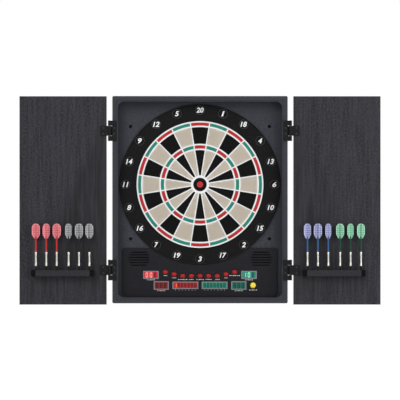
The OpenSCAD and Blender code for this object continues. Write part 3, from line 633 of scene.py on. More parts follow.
SECTOR = math.tau / 20
for node, material, sector_turn in (
        ("singles_black", black_segment, 0), ("singles_cream", cream_segment, SECTOR),
        ("rings_red", red_segment, 0), ("rings_green", green_segment, SECTOR)):
    found = bands_of(node)
    print(node, "bands in mm:", [(round(a / MM, 1), round(b / MM, 1)) for a, b in found])
    drill(node, material, found, Turn=math.pi / 2 + sector_turn)

# %% [markdown]
# ## The bull
#
# The bull's two segments press on their own, so each is a body of its own. The same tree drills
# them: two half turns with no bars between them come out as one even field of holes.

# %% Drill the bull
half_turn = {"Sectors": 2, "Half angle": math.pi / 2, "Side margin": 0.9 * MM, "Turn": 0.0}
drill("outer_bull", black_segment, bands_of("outer_bull"), **half_turn)
bull_edge = bands_of("inner_bull")[0][1]
whole_disc = [(-HOLE_RADIUS - LAND, bull_edge)]
drill("inner_bull", red_segment, whole_disc, **half_turn)

# %% [markdown]
# ## The numbers
#
# The scoring numbers are raised white figures, bold and leaning, each in its own round dish. A
# text object gives the outline; made a mesh first and then scaled, it keeps its place in its
# points. All twenty become one piece, as a printer's pad would lay them down in one stroke.

# %% Numbers round the ring
ORDER = [20, 1, 18, 4, 13, 6, 10, 15, 2, 17, 3, 19, 7, 16, 8, 11, 14, 9, 12, 5]
NUMBER_HEIGHT = 14 * MM
DIGIT_WIDTH = 10.8 * MM
ONE_NARROWER, PAIR_CLOSER = 0.2, 0.15       # of a digit's width
LEAN, BOLDER = 0.22, 0.03
NUMBER_RADIUS = 201.4 * MM
NUMBER_THICK = 0.3 * MM
LIP = 2 * MM                # the ring's lip above its face
DISH = 0.6 * MM             # how deep a number's dish is
dish_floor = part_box("number_ring")[0].y + LIP + DISH


def figure(text):
    """A leaning bold number as a mesh, one unit high, centred, with its front facing -Y."""
    curve = bpy.data.curves.new("figure", "FONT")
    curve.body = text
    curve.shear, curve.offset = LEAN, BOLDER
    curve.extrude = 0.5
    curve.resolution_u = 5
    carrier = bpy.data.objects.new("figure", curve)
    bpy.context.scene.collection.objects.link(carrier)
    bpy.context.view_layer.update()
    mesh = bpy.data.meshes.new_from_object(carrier)
    bpy.data.objects.remove(carrier)
    low, high = box_of([vertex.co for vertex in mesh.vertices])
    mesh.transform(Matrix.Translation(-(low + high) / 2))
    width, height = (high - low)[:2]
    mesh.transform(Matrix.Diagonal((1 / width, 1 / height, 1, 1)))
    mesh.transform(Matrix.Rotation(math.radians(90), 4, "X"))
    return mesh


numbers = bmesh.new()
for place, number in enumerate(ORDER):
    angle = math.pi / 2 - place * SECTOR
    text = str(number)
    narrow = text.count("1") * ONE_NARROWER + (len(text) - 1) * PAIR_CLOSER
    size = Matrix.Diagonal(((len(text) - narrow) * DIGIT_WIDTH, NUMBER_THICK, NUMBER_HEIGHT, 1))
    centre = Vector((bull.x + NUMBER_RADIUS * math.cos(angle), dish_floor - NUMBER_THICK / 2,
                     bull.z + NUMBER_RADIUS * math.sin(angle)))
    mesh = figure(text)
    mesh.transform(Matrix.Translation(centre) @ size)
    numbers.from_mesh(mesh)
bmesh.ops.remove_doubles(numbers, verts=numbers.verts, dist=MERGE)
number_piece = new_piece("numbers", numbers, web_plastic)
smoothed(number_piece)
put_on(number_piece, "cabinet")
count(number_piece)

# %% Rims of the number dishes, in a lighter plastic as a painted highlight
def wire_ring(tree, radius, wire, sides, wire_sides):
    """A ring of round wire."""
    path, profile = (add(tree, "GeometryNodeCurvePrimitiveCircle", {
        "Resolution": points, "Radius": size}).outputs[0]
        for points, size in ((sides, radius), (wire_sides, wire)))
    return add(tree, "GeometryNodeCurveToMesh", {"Curve": path,
                                                 "Profile Curve": profile}).outputs[0]


rim_tree, given, put, calc = new_geometry_tree("dish_rims", [
    ("Count", "Int", 20), ("Numbers at", "Float", NUMBER_RADIUS), ("Dish radius", "Float", 12 * MM),
    ("Wire", "Float", 0.3 * MM), ("Centre", "Vector", (0, 0, 0))])
spots = put("GeometryNodeMeshCircle", {"Vertices": given["Count"], "Radius": given["Numbers at"]})
rims = scatter(rim_tree, spots.outputs[0],
               wire_ring(rim_tree, given["Dish radius"], given["Wire"], 40, 6))
finish_tree(rim_tree, stood_up(rim_tree, rims, given["Centre"]), given)
rim_piece = new_piece("dish_rims", bpy.data.meshes.new("dish_rims"))
# The rims are much lighter than the ring: a painted highlight where light catches the edges of the
# dishes.
grow(rim_piece, rim_tree, Centre=(bull.x, dish_floor - DISH, bull.z),
     Material=moulded("rim_painted_highlight", paint(84, 84, 86), 0.4, 0.2))
smoothed(rim_piece, 60)
put_on(rim_piece, "cabinet")
count(rim_piece)

# %% [markdown]
# ## Displays
#
# Each display is a coloured window in a silver frame, with seven-part digits behind it. The
# windows are tinted acrylic under a clear gloss, and the digits lie a hair above them so that they
# read as lit from behind. A digit is a number in disguise: each of its seven parts is one bit.
# The tree gets a point for each digit, with its bits and its size as attributes.

# %% Window finishes
def acrylic(name, colour, glow, strength, coat):
    """Tinted window plastic: a clear gloss over a deep colour, with a little light in it."""
    material, tree, shader = new_material(name, 0.35, 0.15, coat=coat, coat_roughness=0.08)
    mould = add(tree, "ShaderNodeGroup", node_tree=grain_group)
    worn, wear = worn_colour(tree, colour, mould.outputs["Drift"], 0.1, 0.15, 0.3)
    feed(tree, shader, worn, sums(tree, "MULTIPLY_ADD", wear.outputs["Marks"], 0.15, 0.25))
    glow_out = blended(tree, mould.outputs["Drift"], lighter(glow, 0.7), lighter(glow, 1.2))
    tree.links.new(glow_out, shader.inputs["Emission Color"])
    shader.inputs["Emission Strength"].default_value = strength
    return material


ACRYLICS = {                # colour, glow and its strength, clear coat
    "red_window_dim": ((112, 22, 28), (200, 30, 36), 0.05, 0.35),
    "red_window": ((158, 30, 38), (210, 34, 40), 0.06, 0.35),
    "red_window_lit": ((188, 36, 46), (230, 40, 50), 0.1, 0.35),
    "red_digit": ((46, 4, 8), (120, 20, 20), 0.01, 0.0),
    "red_digit_lit": ((240, 150, 150), (255, 140, 140), 0.35, 0.35),
    "green_window_dim": ((20, 92, 78), (24, 130, 104), 0.05, 0.35),
    "green_window": ((26, 124, 104), (30, 150, 120), 0.08, 0.35),
    "green_window_lit": ((28, 118, 100), (34, 150, 120), 0.08, 0.35),
    "green_digit": ((4, 34, 34), (20, 80, 64), 0.01, 0.0),
    "green_digit_lit": ((130, 210, 186), (140, 230, 190), 0.35, 0.35),
    "orange_digit_lit": ((240, 100, 30), (255, 100, 20), 0.7, 0.35),
}
acrylics = {name: acrylic(name, paint(*colour), paint(*glow), strength, coat)
            for name, (colour, glow, strength, coat) in ACRYLICS.items()}
print("window finishes:", len(acrylics))

# %% The seven-part digit tree
digit_tree, given, put, calc = new_geometry_tree("seven_part_digits", [
    ("Part length", "Float", 0.48), ("Part width", "Float", 0.17), ("Digit width", "Float", 0.38),
    ("Thickness", "Float", 0.12 * MM)])
HEXAGON_HALF = math.sin(math.radians(60))
outline = put("GeometryNodeMeshCircle", {"Vertices": 6, "Radius": 1.0}, fill_type="NGON")
corner = own_place(digit_tree)
half_width = calc("MULTIPLY", given["Part width"], 0.5)
side = calc("DIVIDE", corner["Y"], HEXAGON_HALF)
shoulder = calc("SUBTRACT", calc("MULTIPLY", given["Part length"], 0.5),
                calc("MULTIPLY", calc("ABSOLUTE", side), half_width))
drawn = put("GeometryNodeSetPosition", {
    "Geometry": outline.outputs[0],
    "Position": vector(digit_tree, calc("MULTIPLY", calc("SIGN", corner["X"]), shoulder),
                       calc("MULTIPLY", side, half_width))})
bits, size = (put("GeometryNodeInputNamedAttribute", {"Name": label}, data_type=kind).outputs[0]
              for label, kind in (("bits", "INT"), ("size", "FLOAT")))
narrow = calc("MULTIPLY", size, calc("MULTIPLY", given["Digit width"], 2.0))
level_scale = vector(digit_tree, narrow, size, size)
parts = put("GeometryNodeJoinGeometry")
PARTS = [(0, 0.5, 0), (1, 0.25, 1), (1, -0.25, 1), (0, -0.5, 0), (-1, -0.25, 1), (-1, 0.25, 1),
         (0, 0, 0)]         # to the right, up, and whether the part is upright
for bit, (across, up, upright) in enumerate(PARTS):
    shift = calc("MULTIPLY", calc("MULTIPLY", given["Digit width"], across * 0.5), size)
    moved = put("GeometryNodeSetPosition", {
        "Geometry": given["Geometry"],
        "Offset": vector(digit_tree, shift, z=calc("MULTIPLY", size, up))})
    lit = calc("FLOORED_MODULO", calc("FLOOR", calc("DIVIDE", bits, float(2 ** bit))), 2.0)
    placed = scatter(digit_tree, moved.outputs[0], drawn.outputs[0], Selection=lit,
                     Rotation=(math.pi / 2, upright * math.pi / 2, 0),
                     Scale=size if upright else level_scale)
    digit_tree.links.new(placed, parts.inputs[0])
real = put("GeometryNodeRealizeInstances", {0: parts.outputs[0]})
solid = put("GeometryNodeExtrudeMesh", {
    "Mesh": real.outputs[0], "Offset": (0, -1, 0), "Offset Scale": given["Thickness"],
    "Individual": False})
finish_tree(digit_tree, solid.outputs[0], given)

# %% Windows and their digits
ALL_PARTS, ZERO, ONE = 127, 63, 6
WINDOW_MARGIN = 0.3         # at both ends together, as a share of the digits' pitch
DIGIT_SIZE, DIGIT_LIMIT = 0.74, 1.45        # of the window's height, and of the pitch
HAIR = 0.02 * MM            # how far prints and digits stand off a face


def points_piece(name, points, **attributes):
    """A mesh of loose points with a value of each attribute for every point."""
    mesh = bpy.data.meshes.new(name)
    mesh.from_pydata(points, [], [])
    for label, (kind, values) in attributes.items():
        mesh.attributes.new(label, kind, "POINT").data.foreach_set("value", values)
    return new_piece(name, mesh)


def digit_places(window, how_many):
    """The middle of each digit in a window, just above its face, and the digits' size."""
    low, high = window
    pitch = (high.x - low.x) / (how_many + WINDOW_MARGIN)
    middle_x, middle_z = (low.x + high.x) / 2, (low.z + high.z) / 2
    size = min(DIGIT_SIZE * (high.z - low.z), pitch * DIGIT_LIMIT)
    return [((middle_x + (index - (how_many - 1) / 2) * pitch, low.y - HAIR, middle_z), size)
            for index in range(how_many)]


def digits(name, places, bits, material):
    piece = points_piece(name, [point for point, _ in places], bits=("INT", bits),
                         size=("FLOAT", [size for _, size in places]))
    grow(piece, digit_tree, Material=material)
    put_on(piece, "cabinet")
    count(piece)


def windows_by_kind(node):
    """A node's wide window, its upper one and its lower one."""
    boxes = [box_of(points) for points in solids_of(node)]
    wide = max(boxes, key=lambda box: box[1].x - box[0].x)
    upper = max(boxes, key=lambda box: box[1].z)
    lower = [box for box in boxes if box not in (wide, upper)][0]
    return wide, upper, lower


for colour, lit_bits in (("red", [ZERO, ZERO]), ("green", [ONE, ZERO])):
    node, slot = f"{colour}_display_windows", f"{colour}_window"
    piece = dress(node, 0.2 * MM, acrylics[slot + "_dim"])
    wide, upper, lower = windows_by_kind(node)
    for number, kind, (low, high) in ((1, "", wide), (2, "_lit", upper)):
        piece.data.materials.append(acrylics[slot + kind])
        for face in piece.data.polygons:
            if low.x < face.center.x < high.x and low.z < face.center.z < high.z:
                face.material_index = number
    upper_places = digit_places(upper, 3)
    first_dark = 1 if colour == "red" else 0
    dark = upper_places[2:] + digit_places(lower, 3) + digit_places(wide, 7)[first_dark:]
    digits(f"{colour}_digits_dark", dark, [ALL_PARTS] * len(dark), acrylics[f"{colour}_digit"])
    digits(f"{colour}_digits_lit", upper_places[:2], lit_bits, acrylics[f"{colour}_digit_lit"])
    if colour == "red":
        digits("red_digit_orange", digit_places(wide, 7)[:1], [ONE],
               acrylics["orange_digit_lit"])
dress("display_bezels", 0.3 * MM, silver_paint)

# %% [markdown]
# ## Buttons
#
# A button cap is an oval that rises from a hidden flange, turns over in a soft edge and ends in a
# slight crown. That is a stack of ovals, each with its own size and height, skinned from one to
# the next. The round yellow button and every turned part of a dart are the same stack with no
# straight stretch, so one function makes them all.

# %% Stacked ovals
def ring_of(radius, reach, depth, sides, centre, standing=False):
    """Points round an oval: two half circles, a straight stretch apart, at a depth along Y."""
    points = []
    for index in range(sides):
        angle = math.tau * (index + 0.5) / sides
        across = radius * math.cos(angle) + math.copysign(reach, math.cos(angle))
        along = radius * math.sin(angle)
        points.append(centre + (Vector((across, along, depth)) if standing
                                else Vector((across, depth, along))))
    return points


def stack(shape, profile, centre, sides=32, reach=0.0, standing=False, material=0, smooth=True):
    """Skins a stack of ovals, given as (radius, place) from one end to the other, and caps it."""
    widest = max(radius for radius, place in profile)
    rows = [[shape.verts.new(point) for point in ring_of(
        radius, reach * min(2 * radius / widest, 1), place, sides, centre, standing)]
        for radius, place in profile]
    faces = [shape.faces.new((low[i], low[(i + 1) % sides], high[(i + 1) % sides], high[i]))
             for low, high in zip(rows, rows[1:]) for i in range(sides)]
    faces += [shape.faces.new(rows[0]), shape.faces.new(rows[-1])]
    for face in faces:
        face.material_index = material
        face.smooth = smooth
    bmesh.ops.recalc_face_normals(shape, faces=faces)


# %% Button caps
FLANGE = 1.5 * MM
FLANGE_THICK = 1.5 * MM
FLANGE_BACK = 0.3 * MM      # from the console's back to the flange
STEM = 2 * MM
CAP_EDGE = 2 * MM
GAP = 0.5 * MM              # round each cap, where the console is open
CROWN = 0.5 * MM


def button(node, material):
    low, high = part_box(node)
    radius = (high.z - low.z) / 2 - FLANGE - GAP
    reach = max((high.x - low.x) / 2 - FLANGE - 2 * GAP - radius, 0)
    front = low.y
    flange_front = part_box("console_panel")[1].y + FLANGE_BACK
    shape = bmesh.new()
    profile = [(STEM, high.y), (STEM, flange_front + FLANGE_THICK),
               (radius + FLANGE + GAP, flange_front + FLANGE_THICK),
               (radius + FLANGE + GAP, flange_front),
               (radius, flange_front), (radius, front + CROWN + CAP_EDGE)]
    for step in range(1, 5):
        turned = math.radians(90) * step / 4
        profile.append((radius - CAP_EDGE * (1 - math.cos(turned)),
                        front + CROWN + CAP_EDGE * (1 - math.sin(turned))))
    for share in (0.6, 0.3, 0.05):
        inner = (radius - CAP_EDGE) * share
        profile.append((inner, front + CROWN * share ** 2))
    centre = Vector(((low.x + high.x) / 2, 0, (low.z + high.z) / 2))
    stack(shape, profile, centre, reach=reach)
    piece = new_piece(node + "_cap", shape, material)
    smoothed(piece, 40)
    stand_for(piece, node)


red_nodes = sorted(node for node in frame["nodes"] if node.startswith("red_button_"))
for node in red_nodes:
    button(node, red_button_plastic)
button("yellow_button", yellow_button_plastic)
print("buttons:", len(red_nodes) + 1)

# %% [markdown]
# ## Printed legends
#
# Under every button and display a printer would put a word. Here each is a row of short dashes of
# uneven length, which reads as small print from where a player stands. A point stands for each
# word, with the word's width as an attribute; the tree puts the same row of dashes on all.

# %% The legend tree
legend_tree, given, put, calc = new_geometry_tree("legend_dashes", [
    ("Dashes", "Int", 6), ("Height", "Float", 1.7 * MM), ("Thickness", "Float", 0.06 * MM),
    ("Seed", "Int", 4)])
row = put("GeometryNodeMeshLine", {
    "Count": given["Dashes"], "Start Location": (-0.42, 0, 0), "Offset": (0.42, 0, 0)},
    mode="END_POINTS")
dash = put("GeometryNodeMeshCube", {
    "Size": vector(legend_tree, 0.13, given["Thickness"], given["Height"])})
uneven = put("FunctionNodeRandomValue", {"Min": (0.55, 1, 0.8), "Max": (1.05, 1, 1),
                                         "Seed": given["Seed"]}, data_type="FLOAT_VECTOR")
word = scatter(legend_tree, row.outputs[0], dash.outputs[0], Scale=uneven.outputs[0])
width = put("GeometryNodeInputNamedAttribute", {"Name": "width"}, data_type="FLOAT").outputs[0]
words = scatter(legend_tree, given["Geometry"], word, Scale=vector(legend_tree, width, 1.0, 1.0))
finish_tree(legend_tree, words, given)

# %% Legends under the buttons and the displays
white_ink = moulded("white_ink", paint(214, 214, 214), 0.6, 0.3, rubbed=0, dust=0, contrast=0.1)
BUTTON_WORDS = [10, 12, 26, 13, 21, 17, 13, 9, 30]      # widths in millimetres
DISPLAY_WORD = 22 * MM
TICK = 1.6 * MM
UNDER_RED, UNDER_YELLOW, UNDER_WINDOW = 2.2 * MM, 3.2 * MM, 5.2 * MM
legend_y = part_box("console_panel")[0].y - HAIR
legends = []
for node, word_width in zip(red_nodes, BUTTON_WORDS):
    low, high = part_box(node)
    legends.append(((low.x + high.x) / 2, low.z - UNDER_RED, word_width * MM))
low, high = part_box("yellow_button")
legends.append(((low.x + high.x) / 2, low.z - UNDER_YELLOW, DISPLAY_WORD))
for node in ("red_display_windows", "green_display_windows"):
    wide, upper, lower = windows_by_kind(node)
    for low, high in (upper, lower):
        legends.append(((low.x + high.x) / 2, low.z - UNDER_WINDOW, DISPLAY_WORD))
    legends += [(point[0], wide[0].z - UNDER_WINDOW, TICK) for point, _ in digit_places(wide, 7)]
legend_piece = points_piece("legends", [(x, legend_y, z) for x, z, _ in legends],
                            width=("FLOAT", [word_width for _, _, word_width in legends]))
grow(legend_piece, legend_tree, Material=white_ink)
put_on(legend_piece, "cabinet")
count(legend_piece)

# %% [markdown]
# ## Metal and the small parts
#
# Screws, pins and dart barrels are turned or cold formed, so their fine scratches run round them.
# A noise texture, scaled far finer along Z by a Mapping node so that its lines run round the axis,
# gives that lay.

# %% Metals
def turned_metal(name, colour, roughness, scratch=0.01 * MM, scale=(90, 90, 2600)):
    """Bare or plated metal with fine scratches round its axis, Z."""
    material, tree, shader = new_material(name, roughness, 0.5, metallic=1.0)
    lay = add(tree, "ShaderNodeMapping", {"Vector": place_of(tree), "Scale": scale})
    lines = noise(tree, 1.0, 3.0, place=lay.outputs[0])
    worn, wear = worn_colour(tree, colour, lines, 0.0, 0.1, 0.25)
    feed(tree, shader, worn,
         sums(tree, "MULTIPLY_ADD", wear.outputs["Marks"], 0.15, roughness - 0.05))
    bumped(tree, shader, lines, scratch, 0.5)
    return material


barrel_metal = turned_metal("barrel_metal", paint(188, 186, 178), 0.3)
pin_metal = turned_metal("pin_metal", paint(150, 150, 154), 0.35)
screw_metal = turned_metal("screw_metal", paint(176, 176, 178), 0.35, scale=(900, 900, 900))
black_screw_metal = turned_metal("black_screw_metal", paint(52, 52, 54), 0.45,
                                 scale=(900, 900, 900))

# %% [markdown]
# ## Hinges, screws and the parts behind
#
# The brackets and leaves are stout mouldings; the screws are left sharp enough to show their
# crossed slots. What lies inside the casing is seen only through its gaps, yet it gets its own
# finish too, so the part looks right when the casing is taken off.

# %% Hinges and fasteners
for side in ("left", "right"):
    dress(f"{side}_hinge_brackets", 0.3 * MM, hinge_plastic)
    dress(f"{side}_hinge_leaves", 0.4 * MM, hinge_plastic)
    dress(f"{side}_hinge_pins", 0.3 * MM, pin_metal)
    dress(f"{side}_door_screws", 0.12 * MM, black_screw_metal, steps=1)
dress("bracket_screws", 0.12 * MM, black_screw_metal, steps=1)
dress("case_screws", 0.12 * MM, screw_metal, steps=1)
dress("dc_socket", 0.3 * MM, hinge_plastic)

# %% Shields that close the gap behind each hinge
SHIELD_THICK, SHIELD_BACK, CORNER = 2.4 * MM, 13 * MM, 2 * MM
case_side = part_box("front_shell")[1].x
outer_x = middle(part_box("right_hinge_pins")).x - 1.2 * MM
shields = bmesh.new()
for points in solids_of("left_hinge_leaves") + solids_of("right_hinge_leaves"):
    low, high = box_of(points)
    side = math.copysign(1, low.x)
    half_high = (high.z - low.z) / 2 - 0.3 * MM
    upper = [(case_side - 0.2 * MM, half_high), (outer_x - CORNER, half_high),
             (outer_x, half_high - CORNER)]
    outline = upper + [(x, -z) for x, z in reversed(upper)]
    back_y = low.y + SHIELD_BACK + SHIELD_THICK
    rows = [[shields.verts.new((side * x, y, middle((low, high)).z + z)) for x, z in outline]
            for y in (back_y, back_y - SHIELD_THICK)]
    for row in rows:
        shields.faces.new(row)
    for i in range(len(outline)):
        shields.faces.new((rows[0][i - 1], rows[0][i], rows[1][i], rows[1][i - 1]))
bmesh.ops.recalc_face_normals(shields, faces=list(shields.faces))
bmesh.ops.bevel(shields, geom=list(shields.edges), offset=0.4 * MM, segments=2, profile=0.5,
                affect="EDGES")
shield_piece = new_piece("hinge_shields", shields, casing_plastic)
face_weighted(shield_piece)
put_on(shield_piece, "cabinet")
count(shield_piece)

# %% Dark caps in the wall screw holes, standing for the shade inside them
screws = next(mount for mount in frame["record"]["mounts"] if mount["name"] == "wall_screws")
SEAT_RADIUS, CAP_SINK, CAP_THICK = 4.5 * MM, 1.2 * MM, 1.6 * MM
PANEL_Y = -34 * MM          # the front of the recess's panel
# Near-black caps fill the four screw holes as painted shade: they stand for the shade inside the
# holes.
caps = bmesh.new()
for across in (-0.5, 0.5):
    for up in (-0.5, 0.5):
        centre = Vector((across * screws["dims"]["spacing_x_mm"] * MM, 0,
                         up * screws["dims"]["spacing_y_mm"] * MM))
        front = PANEL_Y + CAP_SINK
        stack(caps, [(SEAT_RADIUS - 0.1 * MM, front + CAP_THICK),
                     (SEAT_RADIUS - 0.1 * MM, front + 0.3 * MM), (SEAT_RADIUS - 0.5 * MM, front),
                     (SEAT_RADIUS - 1.6 * MM, front), (SEAT_RADIUS - 2 * MM, front + 0.5 * MM)],
              centre, sides=24)
shade_cap_piece = new_piece("wall_screw_shade_caps", caps, rubber_black)
smoothed(shade_cap_piece, 40)
put_on(shade_cap_piece, "cabinet")
count(shade_cap_piece)

# %% Finishes for the parts inside
speaker_paper = moulded("speaker_paper", paint(26, 26, 28), 0.8, 0.08, grain=700, depth=0.2 * MM)
sensor_film = moulded("sensor_film", paint(70, 92, 80), 0.35, 0.4, grain=400)
hardboard = moulded("hardboard", paint(134, 98, 60), 0.8, 0.2, grain=900, depth=0.2 * MM)
solder_mask = moulded("solder_mask", paint(28, 88, 52), 0.3, 0.5, grain=500, contrast=0.2)
block_plastic = moulded("block_plastic", paint(40, 20, 20), 0.5, 0.4)
switch_plastic = moulded("switch_plastic", paint(44, 44, 46), 0.5, 0.4)
dress("speakers", 0.4 * MM, speaker_paper)
for node, material in (("sensor_mat", sensor_film), ("backing_plate", hardboard),
                       ("control_board", solder_mask), ("display_modules", block_plastic),
                       ("button_switches", switch_plastic), ("board_screws", screw_metal)):
    frame["nodes"][node].material_slots[0].material = material
print("inner parts finished")

# %% [markdown]
# ## Doors
#
# The doors are boards in black foil with a printed and pressed wood grain that runs up and down.
# The grain is noise stretched along Z by a Mapping node, three times: a broad drift in tone,
# streaks a finger's width long, and fine pores that are pressed into the surface.

# %% Wood foil
foil_group, given, put, calc = new_group("foil_grain", {"Across": 210.0, "Along": 11.0})


def stretched_noise(factor, detail, low, high):
    """Noise drawn out along Z, finer as the factor grows, as a share between two limits."""
    across = calc("MULTIPLY", given["Across"], factor)
    scale = vector(foil_group, across, across, calc("MULTIPLY", given["Along"], factor))
    drawn = put("ShaderNodeMapping", {"Vector": place_of(foil_group), "Scale": scale})
    return ranged(foil_group, noise(foil_group, 1.0, detail, place=drawn.outputs[0]), low, high)


give(foil_group, Tone=stretched_noise(0.12, 2.0, 0.3, 0.7),
     Streak=stretched_noise(1.0, 3.0, 0.34, 0.66), Pores=stretched_noise(4.0, 1.0, 0.52, 0.68))


def wood_foil(name, dark, pale, roughness=0.5):
    material, tree, shader = new_material(name, roughness, 0.15)
    grain = add(tree, "ShaderNodeGroup", node_tree=foil_group)
    mould = add(tree, "ShaderNodeGroup", node_tree=grain_group)
    figure_share = sums(tree, "MULTIPLY_ADD", grain.outputs["Tone"], 0.3,
                        sums(tree, "MULTIPLY", grain.outputs["Streak"], 0.7))
    streaked = blended(tree, figure_share, dark, pale)
    pored = blended(tree, sums(tree, "MULTIPLY", grain.outputs["Pores"], 0.45), streaked,
                    lighter(dark, 0.5))
    wear = add(tree, "ShaderNodeGroup", node_tree=wear_group)
    rubbed = blended(tree, sums(tree, "MULTIPLY", wear.outputs["Rubbed"], 0.4), pored,
                     lighter(pale, 1.8))
    dusty = blended(tree, sums(tree, "MULTIPLY", wear.outputs["Dust"], 0.2), rubbed, DUST)
    feed(tree, shader, dusty,
         sums(tree, "MULTIPLY_ADD", mould.outputs["Drift"], 0.2, roughness - 0.1))
    bumped(tree, shader, grain.outputs["Pores"], -0.15 * MM, 0.5)
    return material


door_foil = wood_foil("door_foil", paint(20, 20, 22), paint(46, 46, 52))
RACK_END = 11.5 * MM
for side in ("left", "right"):
    panel, rack = f"{side}_door_panel", f"{side}_dart_rack"
    dress(panel, 0.9 * MM, door_foil, where=outline_of(panel), steps=3)
    piece = dress(rack, 0.3 * MM, rack_plastic)
    piece.data.materials.append(rubber_black)
    low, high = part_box(rack)
    for face in piece.data.polygons:
        if min(face.center.x - low.x, high.x - face.center.x) < RACK_END:
            face.material_index = 1

# %% [markdown]
# ## Dart flights
#
# The flights are thin nylon wings with a woven look: pale lines in a small square lattice over a
# stronger colour. The lattice has to follow each wing, however the dart is turned, so it reads the
# wing's own UV map, which is laid out in millimetres.

# %% Lattice group and flight finishes
SOFT = 0.06                 # half the width of a line's soft edge, as a share of the pitch
lattice_group, given, put, calc = new_group("lattice", {"Pitch": 4.8, "Line": 0.22})
spot = apart(lattice_group, put("ShaderNodeTexCoord").outputs["UV"])
lines = []
for axis in ("X", "Y"):
    cell = calc("FRACT", calc("DIVIDE", spot[axis], given["Pitch"]))
    from_middle = calc("ABSOLUTE", calc("SUBTRACT", cell, 0.5))
    lines.append(ranged(lattice_group, from_middle, calc("SUBTRACT", 0.5 - SOFT, given["Line"]),
                        calc("SUBTRACT", 0.5 + SOFT, given["Line"])))
give(lattice_group, Lines=calc("MAXIMUM", *lines))


def flight_nylon(name, deep, pale):
    material, tree, shader = new_material(name, 0.45, 0.25)
    lattice = add(tree, "ShaderNodeGroup", node_tree=lattice_group)
    mould = add(tree, "ShaderNodeGroup", node_tree=grain_group)
    tint = blended(tree, mould.outputs["Drift"], lighter(deep, 0.8), lighter(deep, 1.2))
    woven = blended(tree, lattice.outputs["Lines"], tint, pale)
    feed(tree, shader, woven, sums(tree, "MULTIPLY_ADD", lattice.outputs["Lines"], -0.12, 0.5))
    bumped(tree, shader, lattice.outputs["Lines"], 0.12 * MM, 0.8)
    return material


SETS = {
    "red_dart": ((184, 50, 60), (224, 144, 150), (172, 44, 38)),
    "grey_dart": ((52, 52, 56), (176, 176, 180), (18, 18, 20)),
    "blue_dart": ((66, 76, 140), (182, 184, 214), (44, 84, 130)),
    "green_dart": ((58, 144, 106), (158, 208, 180), (24, 60, 46)),
}           # slot: flight cells, flight lines, shaft
tip_nylon = moulded("tip_nylon", paint(18, 18, 19), 0.45, 0.1)
flight_finish, shaft_finish = {}, {}
for slot, (cells, lines, shaft) in SETS.items():
    flight_finish[slot] = flight_nylon(slot + "_flight", paint(*cells), paint(*lines))
    shaft_finish[slot] = moulded(slot + "_shaft", paint(*shaft), 0.35, 0.15, depth=0.02 * MM,
                                 contrast=0.15)
print("dart sets:", list(SETS))

# %% [markdown]
# ## Grip rings
#
# The waist of each barrel carries fine raised rings for grip. They repeat, so a small tree makes
# them: one thin ring, put on each point of a line. It runs once, and every dart takes a copy.

# %% The grip tree
grip_tree, given, put, calc = new_geometry_tree("grip_rings", [
    ("Rings", "Int", 14), ("First", "Float", 0.0), ("Last", "Float", 1.0),
    ("Radius", "Float", 2.8 * MM), ("Wire", "Float", 0.28 * MM)])
heights = put("GeometryNodeMeshLine", {
    "Count": given["Rings"], "Start Location": vector(grip_tree, z=given["First"]),
    "Offset": vector(grip_tree, z=given["Last"])}, mode="END_POINTS")
band = wire_ring(grip_tree, given["Radius"], given["Wire"], 24, 5)
finish_tree(grip_tree, scatter(grip_tree, heights.outputs[0], band), given)

# %% [markdown]
# ## Darts
#
# A dart is four turned or moulded parts in line: soft tip, barrel, shaft and flight. Their heights
# are read from the four solids of its node, and so is the way its wings are turned. A wing's edge
# follows one formula from its narrow foot to its rounded top, and its thickness thins outwards.

# %% Wings
WING_FOOT = 0.3
SWELL_END, SWELL_POWER = 0.38, 0.8
ROUND_START, ROUND_POWER = 0.68, 2.2
TRIM = 0.86                 # of the solid's reach, which leaves room between the darts
ROOT = 0.3 * MM
HALF_AT_ROOT, HALF_THINS = 0.28 * MM, 0.14 * MM
TOP_ROW = 0.995             # the top row isn't quite a point
WING_STEPS, HEIGHT_STEPS = 6, 22


def wing_reach(share):
    """How far a wing reaches at a share of its height, as a share of its full reach."""
    swell = WING_FOOT + (1 - WING_FOOT) * math.sin(math.pi / 2 * min(share / SWELL_END, 1)) \
        ** SWELL_POWER
    past = max(share - ROUND_START, 0) / (1 - ROUND_START)
    return swell * math.sqrt(max(1 - past ** ROUND_POWER, 0))


def wing(shape, foot, height, reach, turn, uv, material):
    """One wing: two skins that meet in a thin edge, with UVs in millimetres."""
    out_way = Vector((math.cos(turn), math.sin(turn), 0))
    side_way = Vector((-out_way.y, out_way.x, 0))
    skins = []
    for side in (1, -1):
        skin = []
        for step in range(HEIGHT_STEPS + 1):
            share = min(step / HEIGHT_STEPS, TOP_ROW)
            row = []
            for part in range(WING_STEPS + 1):
                distance = ROOT + (wing_reach(share) * reach - ROOT) * part / WING_STEPS
                half = HALF_AT_ROOT - HALF_THINS * part / WING_STEPS
                point = foot + out_way * distance + side_way * side * half
                point.z += share * height
                row.append((shape.verts.new(point), (distance / MM, share * height / MM)))
            skin.append(row)
        skins.append(skin)

    def face(corners):
        made = shape.faces.new([vertex for vertex, _ in corners])
        made.material_index = material
        made.smooth = True
        for loop, (_, spot) in zip(made.loops, corners):
            loop[uv].uv = spot
        return made

    front, back = skins
    faces = []
    for low_f, high_f, low_b, high_b in zip(front, front[1:], back, back[1:]):
        for part in range(WING_STEPS):
            faces.append(face([low_f[part], low_f[part + 1], high_f[part + 1], high_f[part]]))
            faces.append(face([high_b[part], high_b[part + 1], low_b[part + 1], low_b[part]]))
        faces.append(face([low_f[-1], low_b[-1], high_b[-1], high_f[-1]]))
        faces.append(face([high_f[0], high_b[0], low_b[0], low_f[0]]))
    for part in range(WING_STEPS):
        faces.append(face([front[0][part], back[0][part], back[0][part + 1], front[0][part + 1]]))
        faces.append(face([front[-1][part + 1], back[-1][part + 1], back[-1][part],
                           front[-1][part]]))
    bmesh.ops.recalc_face_normals(shape, faces=faces)


